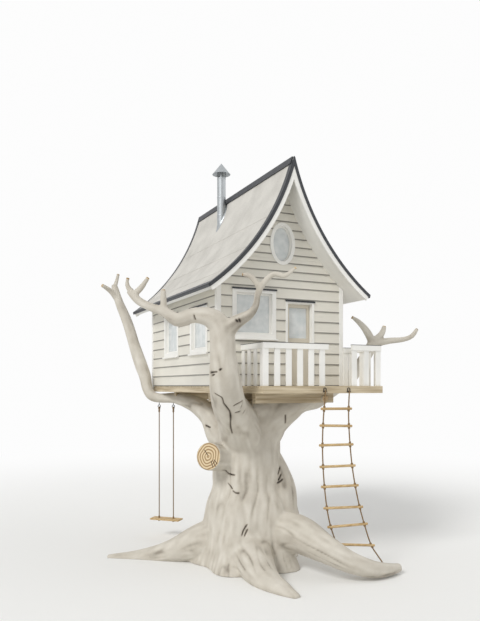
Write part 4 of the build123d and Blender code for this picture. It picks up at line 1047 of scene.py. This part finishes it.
def laid_rope(line, diameter, around=18):
    """Three-strand rope: radius (0.84 + 0.16 |cos(1.5 (turn - twist * run))|) of half its diameter."""
    line = even_steps(line, 0.009)
    # a turn of the strands is 3.2 diameters long, as laid rope has
    twist = run_of(line)[:, None] * 2 * math.pi / (3.2 * diameter)
    wave = np.abs(np.cos(1.5 * (whole_turn(around)[None] - twist)))
    return tube(line, diameter / 2 * (0.84 + 0.16 * wave), around), np.r_[wave.ravel(), 1, 1]


def rope_coil(centre, axis, radius, diameter, turns, pitch):
    """A rope wound round an axis: centre + radius (across cos t + up sin t) + axis pitch t / 2 pi."""
    axis = np.array(axis, float) / np.linalg.norm(axis)
    across = np.cross(axis, (0.3, 0.5, 0.8))
    across /= np.linalg.norm(across)
    up = np.cross(axis, across)
    t = np.linspace(0, 2 * math.pi * turns, int(20 * turns))
    # the coil lies half before its centre and half past it
    rise = (t / (2 * math.pi) - turns / 2) * pitch
    line = centre + radius * (np.cos(t)[:, None] * across + np.sin(t)[:, None] * up) + rise[:, None] * axis
    return tube(line, np.full(len(line), diameter / 2), 10), np.full(len(line) * 10 + 2, 0.8)


def rope_piece(name, parts, body="house"):
    """Ropes and coils as one piece, with the strands' grooves kept for the finish's painted shade."""
    shapes, strands = zip(*parts)
    return new_piece(name, pooled(shapes), "rope", "rope", 60, body, strand=np.concatenate(strands))


def turned_rung(left, right):
    """A rung turned on a lathe: straight, with a bead near each end and eased tips."""
    way = (right - left) / np.linalg.norm(right - left)
    start, stop = left - way * RUNG_PAST, right + way * RUNG_PAST
    long = np.linalg.norm(stop - start)
    run, share = np.array(RUNG_END).T
    run = np.r_[run, long / 2, long - run[::-1]]
    share = np.r_[share, 1, share[::-1]]
    return tube(start + way * run[:, None], share * RUNG_THICK / 2, 24)


# Settings and operators


def length_setting(label, default):
    return FloatProperty(name=label, default=default, unit="LENGTH")


def count_setting(label, default):
    return IntProperty(name=label, default=default, min=1)


def colour_setting(label, default):
    return FloatVectorProperty(name=label, default=default, subtype="COLOR_GAMMA")


class TreeHouseSettings(bpy.types.PropertyGroup):
    """Sizes and colours that a user may change before the pieces are built."""

    skin_size: length_setting("Spacing of the bark's mesh", 0.025)
    wall_lap: length_setting("Face of each board on the walls", 1.76 / 9)
    gable_lap: length_setting("Face of each board in the gables", 0.15)
    deck_boards: count_setting("Boards across the porch", 6)
    deck_gap: length_setting("Gap between deck boards", 0.006)
    felt_strips: count_setting("Strips of felt up each slope", 4)
    wall_colour: colour_setting("Paint on the boards", (0.90, 0.885, 0.84))
    trim_colour: colour_setting("Paint on trim and railings", (0.955, 0.95, 0.93))
    door_colour: colour_setting("Paint on the door", (0.83, 0.80, 0.735))


class BuildTree(bpy.types.Operator):
    """Trunk, roots and limbs under one bark, and their sawn ends"""

    bl_idname = "tree_house.tree"
    bl_label = "Tree"

    def execute(self, context):
        skin, tone = tree_shape(settings().skin_size)
        skin.name = "tree"
        store(skin, tone=tone)
        skin.shade_smooth()
        tree = show("tree", skin, "bark")
        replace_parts(tree, "trunk", "front_limb", "left_limb", "right_limb", "porch_limb")
        shape, rings, cracks = sawn_ends()
        new_piece("sawn_ends", shape, "sawn", "pale_wood", 50, ring=rings, crack=cracks)
        return {"FINISHED"}


class BuildSiding(bpy.types.Operator):
    """Lapped boards on the four walls and both gables"""

    bl_idname = "tree_house.siding"
    bl_label = "Siding"

    def execute(self, context):
        walls = np.arange(0, WALL_HEAD + 0.01, settings().wall_lap)[:-1]
        ridge = underside(0) - 0.02
        laps = np.r_[walls, np.arange(WALL_HEAD, ridge, settings().gable_lap), ridge]
        half = (CABIN_X[1] - CABIN_X[0]) / 2 - CORNER_BOARD

        def under_roof(level):
            reach = min(half, float(roof_reach(level)))
            return -reach, reach

        oval = oval_hole(*OVAL)
        window = rectangle_hole(FRONT_WINDOW_MIDDLE - CABIN_MIDDLE, FRONT_WINDOW)
        door = rectangle_hole(DOOR_MIDDLE - CABIN_MIDDLE, DOOR)
        front = (CABIN_MIDDLE, CABIN_Y[0], FLOOR)
        back = (CABIN_MIDDLE, CABIN_Y[1], FLOOR)
        self.wall("siding_front", under_roof, laps, [window, door, oval], front, (1, 0, 0), (0, -1, 0))
        window = rectangle_hole(0, PLAIN_WINDOW)
        self.wall("siding_back", under_roof, laps, [window, oval], back, (1, 0, 0), (0, 1, 0))
        # the side walls' boards reach up under the roof
        laps = np.r_[walls, underside(1.27)]
        ends = (CORNER_BOARD, CABIN_Y[1] - CABIN_Y[0] - CORNER_BOARD)
        holes = [rectangle_hole(at, PLAIN_WINDOW) for at in SIDE_WINDOWS]
        for name, x, out in (("siding_left", CABIN_X[0], -1), ("siding_right", CABIN_X[1], 1)):
            self.wall(name, lambda level: ends, laps, holes, (x, CABIN_Y[0], FLOOR), (0, 1, 0), (out, 0, 0))
        return {"FINISHED"}

    def wall(self, name, edges, laps, holes, origin, across, out):
        """One wall's boards at origin + across * u + out * v + up * z."""
        points, faces, marks = lapped_boards(edges, laps, holes)
        points = np.array(origin) + points @ np.array([across, out, (0, 0, 1)])
        if np.cross(across, out)[2] > 0:
            faces = turned_over(faces)
        finish = "siding_x" if across[0] else "siding_y"
        new_piece(name, (points, faces), finish, "painted_siding", 30, **marks)


class BuildJoinery(bpy.types.Operator):
    """Door, window frames, corner boards, barge boards and railings, with eased edges"""

    bl_idname = "tree_house.joinery"
    bl_label = "Joinery"

    def execute(self, context):
        eased_copy("corner_trim", ["corner_boards"], "trim", 0.004)
        for side in SIDES:
            eased_copy(side + "_window_trim", [side + "_window_frames"], "trim", 0.003)
        eased_copy("door_trim", ["door_frame"], "trim", 0.003)
        for side in ("left", "front_left", "front_right", "right"):
            eased_copy("rail_" + side, ["railing_" + side], "trim", 0.005)
        eased_copy("verge_boards", ["barge_boards"], "trim_long", 0.004)
        self.flashings()
        self.rail_caps()
        eased_copy("door_panel", ["door_leaf"], "door", 0.003, "door")
        dress("glass", "door_glass", *[side + "_window_glass" for side in SIDES])
        dress("iron", "door_hinges", "hinge_pins", "door_knobs")
        dress("inside", "front_wall_left", "front_wall_right", "front_gable")
        dress("inside", *[side + "_wall" for side in SIDES[1:]])
        return {"FINISHED"}

    def flashings(self):
        """Folded metal over each straight window and the door: a shelf with a lip down over the casing."""
        heads = [
            ("y", FRONT_WINDOW_MIDDLE, FRONT_WINDOW, CABIN_Y[0], -1),
            ("y", DOOR_MIDDLE, DOOR, CABIN_Y[0], -1),
            ("y", CABIN_MIDDLE, PLAIN_WINDOW, CABIN_Y[1], 1),
        ]
        for face, out in zip(CABIN_X, (-1, 1)):
            heads += [("x", CABIN_Y[0] + at, PLAIN_WINDOW, face, out) for at in SIDE_WINDOWS]
        low, high = [], []
        for looks, middle, (wide, _, head), face, out in heads:
            across = (middle - wide / 2 - FLASHING_PAST, middle + wide / 2 + FLASHING_PAST)
            for near, drop in ((0, 0), (FLASHING_OUT - SHEET, FLASHING_LIP)):
                depth = sorted((face + out * near, face + out * FLASHING_OUT))
                x, y = (depth, across) if looks == "x" else (across, depth)
                low.append((x[0], y[0], FLOOR + head - drop))
                high.append((x[1], y[1], FLOOR + head + SHEET))
        new_piece("head_flashings", boxes(low, high), "ridge", "ridge_metal")

    def rail_caps(self):
        """Thin dark capping along every top rail, 4 mm proud of it each side."""
        spans = [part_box(name) for name in ("railing_left", "railing_front_left", "railing_front_right")]
        start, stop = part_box("railing_right")
        # the right railing turns a corner: a run along the porch's side and one across its back
        inner = Vector((stop.x - RAIL_WIDE, start.y, start.z))
        spans.append((inner, Vector((stop.x, stop.y - RAIL_WIDE + SHEET, stop.z))))
        inner = Vector((start.x + SHEET, stop.y - RAIL_WIDE, start.z))
        spans.append((inner, Vector((stop.x, stop.y - SHEET, stop.z))))
        low, high = [], []
        for start, stop in spans:
            low.append((start.x - SHEET, start.y - SHEET, stop.z))
            high.append((stop.x + SHEET, min(stop.y + SHEET, CABIN_Y[0]), stop.z + CAP_THICK))
        rounded(new_piece("rail_caps", boxes(low, high), "ridge", "ridge_metal"), 0.002)


class BuildFloor(bpy.types.Operator):
    """Beams, deck boards and the cabin's floor"""

    bl_idname = "tree_house.floor"
    bl_label = "Floor"

    def execute(self, context):
        eased_copy("bearers", ["floor_bearers"], "beam", 0.006)
        eased_copy("rim_and_joists", ["floor_frame", "porch_frame"], "beam", 0.004)
        count = settings().deck_boards
        pitch = (PORCH_Y[1] - PORCH_Y[0]) / count
        y = PORCH_Y[0] + pitch * np.arange(count)
        low = np.column_stack([y * 0 + PORCH_X[0], y, y * 0 + FLOOR - BOARD_THICK])
        high = np.column_stack([y * 0 + PORCH_X[1], y + pitch - settings().deck_gap, y * 0 + FLOOR])
        deck = new_piece("deck", boxes(low, high), "deck", "deck_timber")
        rounded(deck, 0.003)
        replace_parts(deck, "porch_boards")
        dress("deck", "floor_boards")
        return {"FINISHED"}


class BuildRoof(bpy.types.Operator):
    """Felt in strips, dark edge trim and the ridge cap"""

    bl_idname = "tree_house.roof"
    bl_label = "Roof"

    def execute(self, context):
        dress("trim_long", "roof_left", "roof_right")
        bounds = np.linspace(0.0, EAVE_REACH, settings().felt_strips + 1)
        for side, name in ((-1, "left"), (1, "right")):
            strips = []
            for high, low in zip(bounds, bounds[1:]):
                # each strip laps 50 mm over the one below it
                lapped = min(low + 0.05, EAVE_REACH)
                strips.append(swept_sheet(side, *ROOF_Y, (CLEAR, CLEAR + SHEET), FELT_THICK, high, lapped))
            new_piece("felt_" + name, pooled(strips), "felt", "roof_felt")
        trims = []
        for side in (-1, 1):
            for edge, out in zip(ROOF_Y, (-1, 1)):
                # at each gable a strip lies on the felt and a flange hangs over the barge board
                face = edge + out * BARGE_THICK
                top = sorted((edge - out * TRIM_ON_FELT, face + out * TRIM_OUT))
                flange = sorted((face + out * CLEAR, face + out * TRIM_OUT))
                trims.append(swept_sheet(side, *top, TRIM_OUT, SHEET, 0.03, EAVE_REACH + SHEET))
                trims.append(swept_sheet(side, *flange, -0.044, 0.056, 0.0, EAVE_REACH + SHEET))
            # along the eave too, past the ends of the barge boards
            ends = (ROOF_Y[0] - BARGE_THICK - TRIM_OUT, ROOF_Y[1] + BARGE_THICK + TRIM_OUT)
            rim = EAVE_REACH + 0.006
            trims.append(swept_sheet(side, *ROOF_Y, TRIM_OUT, SHEET, EAVE_REACH - 0.08, rim, 4))
            trims.append(swept_sheet(side, *ends, -0.04, 0.052, EAVE_REACH + 0.001, rim, 2))
        new_piece("edge_trim", pooled(trims), "ridge", "ridge_metal")
        eased_copy("ridge_sheet", ["ridge_cap"], "ridge", 0.003)
        return {"FINISHED"}


class BuildPipe(bpy.types.Operator):
    """Stove pipe and cap with their zinc, a dressed flashing and bands"""

    bl_idname = "tree_house.pipe"
    bl_label = "Stove pipe"

    def execute(self, context):
        dress("zinc", "stove_pipe", "pipe_cap")
        flashing = new_piece("pipe_flashing", self.skirt(), "zinc", "galvanised")
        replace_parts(flashing, "pipe_collar")
        bands = []
        for drop in (0.02, 0.42, 0.8):
            z = PIPE_TOP - drop + np.array([-0.012, -0.006, 0.0, 0.006, 0.012])
            line = np.column_stack([z * 0 + PIPE[0], z * 0 + PIPE[1], z])
            bands.append(tube(line, PIPE_RADIUS + np.array([0.0005, 0.003, 0.004, 0.003, 0.0005]), 40))
        new_piece("pipe_bands", pooled(bands), "zinc", "galvanised")
        return {"FINISHED"}

    def skirt(self):
        """A flashing whose rings keep their height over the roof right below: z = roof(x) + height."""
        profile = np.array(SKIRT)
        t = whole_turn(72)
        x = PIPE[0] + profile[:, :1] * np.cos(t)
        y = PIPE[1] + profile[:, :1] * np.sin(t)
        reach = np.maximum(CABIN_MIDDLE - x, 0)
        z = FLOOR + SWEEP_UP - np.sqrt(SWEEP**2 - (SWEEP_OUT - reach) ** 2) + profile[:, 1:]
        return np.stack([x, y, z], -1).reshape(-1, 3), turned_over(grid_faces(len(profile), 72))


class BuildLadder(bpy.types.Operator):
    """Rope ladder: two laid ropes, turned rungs, lashings and hooks"""

    bl_idname = "tree_house.ladder"
    bl_label = "Rope ladder"

    def execute(self, context):
        routes = (LADDER_LEFT, LADDER_RIGHT)
        lines = [rope_line(route) for route in routes]
        rungs, coils = [], []
        for points in zip(LADDER_LEFT[1 : 1 + RUNGS], LADDER_RIGHT[1 : 1 + RUNGS]):
            ends = []
            for line, point in zip(lines, points):
                i = np.linalg.norm(line - point, axis=1).argmin()
                ends.append(line[i])
                way = line[min(i + 3, len(line) - 1)] - line[max(i - 3, 0)]
                way /= np.linalg.norm(way)
                # a lashing over the rung and one under it
                for drop in (-0.034, 0.034):
                    coils.append(rope_coil(line[i] + way * drop, way, 0.0165, LASHING, 2, LASHING))
            rungs.append(turned_rung(*ends))
        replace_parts(new_piece("rungs", pooled(rungs), "turned", "pale_wood"), "ladder_rungs")
        rope_piece("lashings", coils)
        for side, route, line in zip(("left", "right"), routes, lines):
            rope = rope_piece("ladder_line_" + side, [laid_rope(line, LADDER_ROPE)])
            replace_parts(rope, "ladder_rope_" + side)
        dress("iron", "ladder_hooks")
        return {"FINISHED"}


class BuildSwing(bpy.types.Operator):
    """Swing: two laid ropes, a plank seat and screw eyes"""

    bl_idname = "tree_house.swing"
    bl_label = "Swing"

    def execute(self, context):
        axis = next(joint["axis"] for joint in frame["joints"] if joint["name"] == "swing_pivot")
        upright = (0, 0, 1)
        for side in ("left", "right"):
            low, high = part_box("swing_rope_" + side)
            x, y = (low.x + high.x) / 2, (low.y + high.y) / 2
            top = high.z - SWING_ROPE / 2
            # the rope, its loop through the eye, the stopper knot under the seat and a whipping at each end
            parts = [
                laid_rope(np.array([(x, y, low.z + 0.001), (x, y, top - 0.055)]), SWING_ROPE),
                rope_coil((x, y, top - EYE_LOOP), axis, EYE_LOOP, SWING_ROPE, 1.02, 0),
                rope_coil((x, y, low.z - 0.052), upright, 0.017, 0.02, 1.6, 0.012),
                rope_coil((x, y, top - 0.09), upright, 0.015, LASHING, 4, LASHING),
                rope_coil((x, y, low.z + 0.016), upright, 0.015, LASHING, 4, LASHING),
            ]
            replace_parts(rope_piece("swing_line_" + side, parts, "swing"), "swing_rope_" + side)
        eased_copy("seat_plank", ["swing_seat"], "turned", 0.008, "swing")
        dress("iron", "swing_eyes")
        return {"FINISHED"}


class BuildStage(bpy.types.Operator):
    """Floor, soft light and the camera"""

    bl_idname = "tree_house.stage"
    bl_label = "Stage"

    def execute(self, context):
        self.floor(context.scene)
        self.lights(context.scene)
        self.camera(context.scene)
        return {"FINISHED"}

    def floor(self, scene):
        t = whole_turn(96)
        rim = np.column_stack([FLOOR_REACH * np.cos(t), FLOOR_REACH * np.sin(t), t * 0 - 0.001])
        mesh = bpy.data.meshes.new("floor")
        mesh.from_pydata(rim.tolist(), [], [list(range(96))])
        floor = bpy.data.objects.new("floor", mesh)
        scene.collection.objects.link(floor)
        matt = Finish("studio_floor", Roughness=0.95, Specular_IOR_Level=0.1, Base_Color=linear("#F2F2F0"))
        # from 5 to 22 m from the tree the floor turns to the white of the backdrop, seen straight or in glass
        away = matt.add("VectorMath", {"operation": "LENGTH"}, i0=matt.place((1, 1, 1))).outputs["Value"]
        far = matt.remapped(away, 5.0, 22.0, eased="SMOOTHERSTEP")
        white = matt.add("Emission", Color=(1, 1, 1, 1), Strength=WHITE).outputs[0]
        share = matt.result("MULTIPLY", far, matt.seen())
        both = matt.add("MixShader", i0=share, i1=matt.shader.outputs[0], i2=white).outputs[0]
        matt.feed(matt.tree.nodes["Material Output"], "Surface", both)
        mesh.materials.append(matt.owner)

    def lights(self, scene):
        world = Nodes(bpy.data.worlds.new("studio_world"))
        scene.world = world.owner
        back = world.tree.nodes["Background"]
        world.feed(back, "Color", (1, 1, 1, 1))
        world.feed(back, "Strength", world.remapped(world.seen(), 0.0, 1.0, 0.62, WHITE))
        for name, strength, turn, soft in (("key", 1.5, (52, 0, -62), 18), ("fill", 0.35, (60, 0, 60), 60)):
            lamp = bpy.data.lights.new(name, "SUN")
            lamp.energy = strength
            lamp.angle = math.radians(soft)
            light = bpy.data.objects.new(name, lamp)
            light.rotation_euler = [math.radians(a) for a in turn]
            scene.collection.objects.link(light)

    def camera(self, scene):
        lens = bpy.data.cameras.new("camera")
        lens.sensor_width = 36
        lens.lens = lens.sensor_width * FOCAL_PIXELS / PICTURE_TALL
        lens.shift_y = HORIZON_DROP / PICTURE_TALL
        lens.clip_end = 200
        camera = bpy.data.objects.new("camera", lens)
        camera.location = EYE
        camera.rotation_euler = (math.radians(90), 0, math.radians(EYE_TURN))
        scene.collection.objects.link(camera)
        scene.camera = camera
        scene.view_settings.view_transform = "Standard"


class TreeHousePanel(bpy.types.Panel):
    """Lists the pieces and their sizes"""

    bl_idname = "VIEW3D_PT_tree_house"
    bl_label = "Tree house"
    bl_space_type = "VIEW_3D"
    bl_region_type = "UI"
    bl_category = "Tree House"

    def draw(self, context):
        for name in TreeHouseSettings.__annotations__:
            self.layout.prop(context.scene.tree_house, name)
        for operator in OPERATORS:
            self.layout.operator(operator.bl_idname)


OPERATORS = (
    BuildTree,
    BuildSiding,
    BuildJoinery,
    BuildFloor,
    BuildRoof,
    BuildPipe,
    BuildLadder,
    BuildSwing,
    BuildStage,
)


def register():
    for kind in (TreeHouseSettings, *OPERATORS, TreeHousePanel):
        bpy.utils.register_class(kind)
    bpy.types.Scene.tree_house = PointerProperty(type=TreeHouseSettings)


def unregister():
    del bpy.types.Scene.tree_house
    for kind in (TreeHousePanel, *reversed(OPERATORS), TreeHouseSettings):
        bpy.utils.unregister_class(kind)


def main():
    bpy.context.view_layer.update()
    register()
    for operator in OPERATORS:
        area, name = operator.bl_idname.split(".")
        getattr(getattr(bpy.ops, area), name)()


if __name__ == "__main__":
    main()
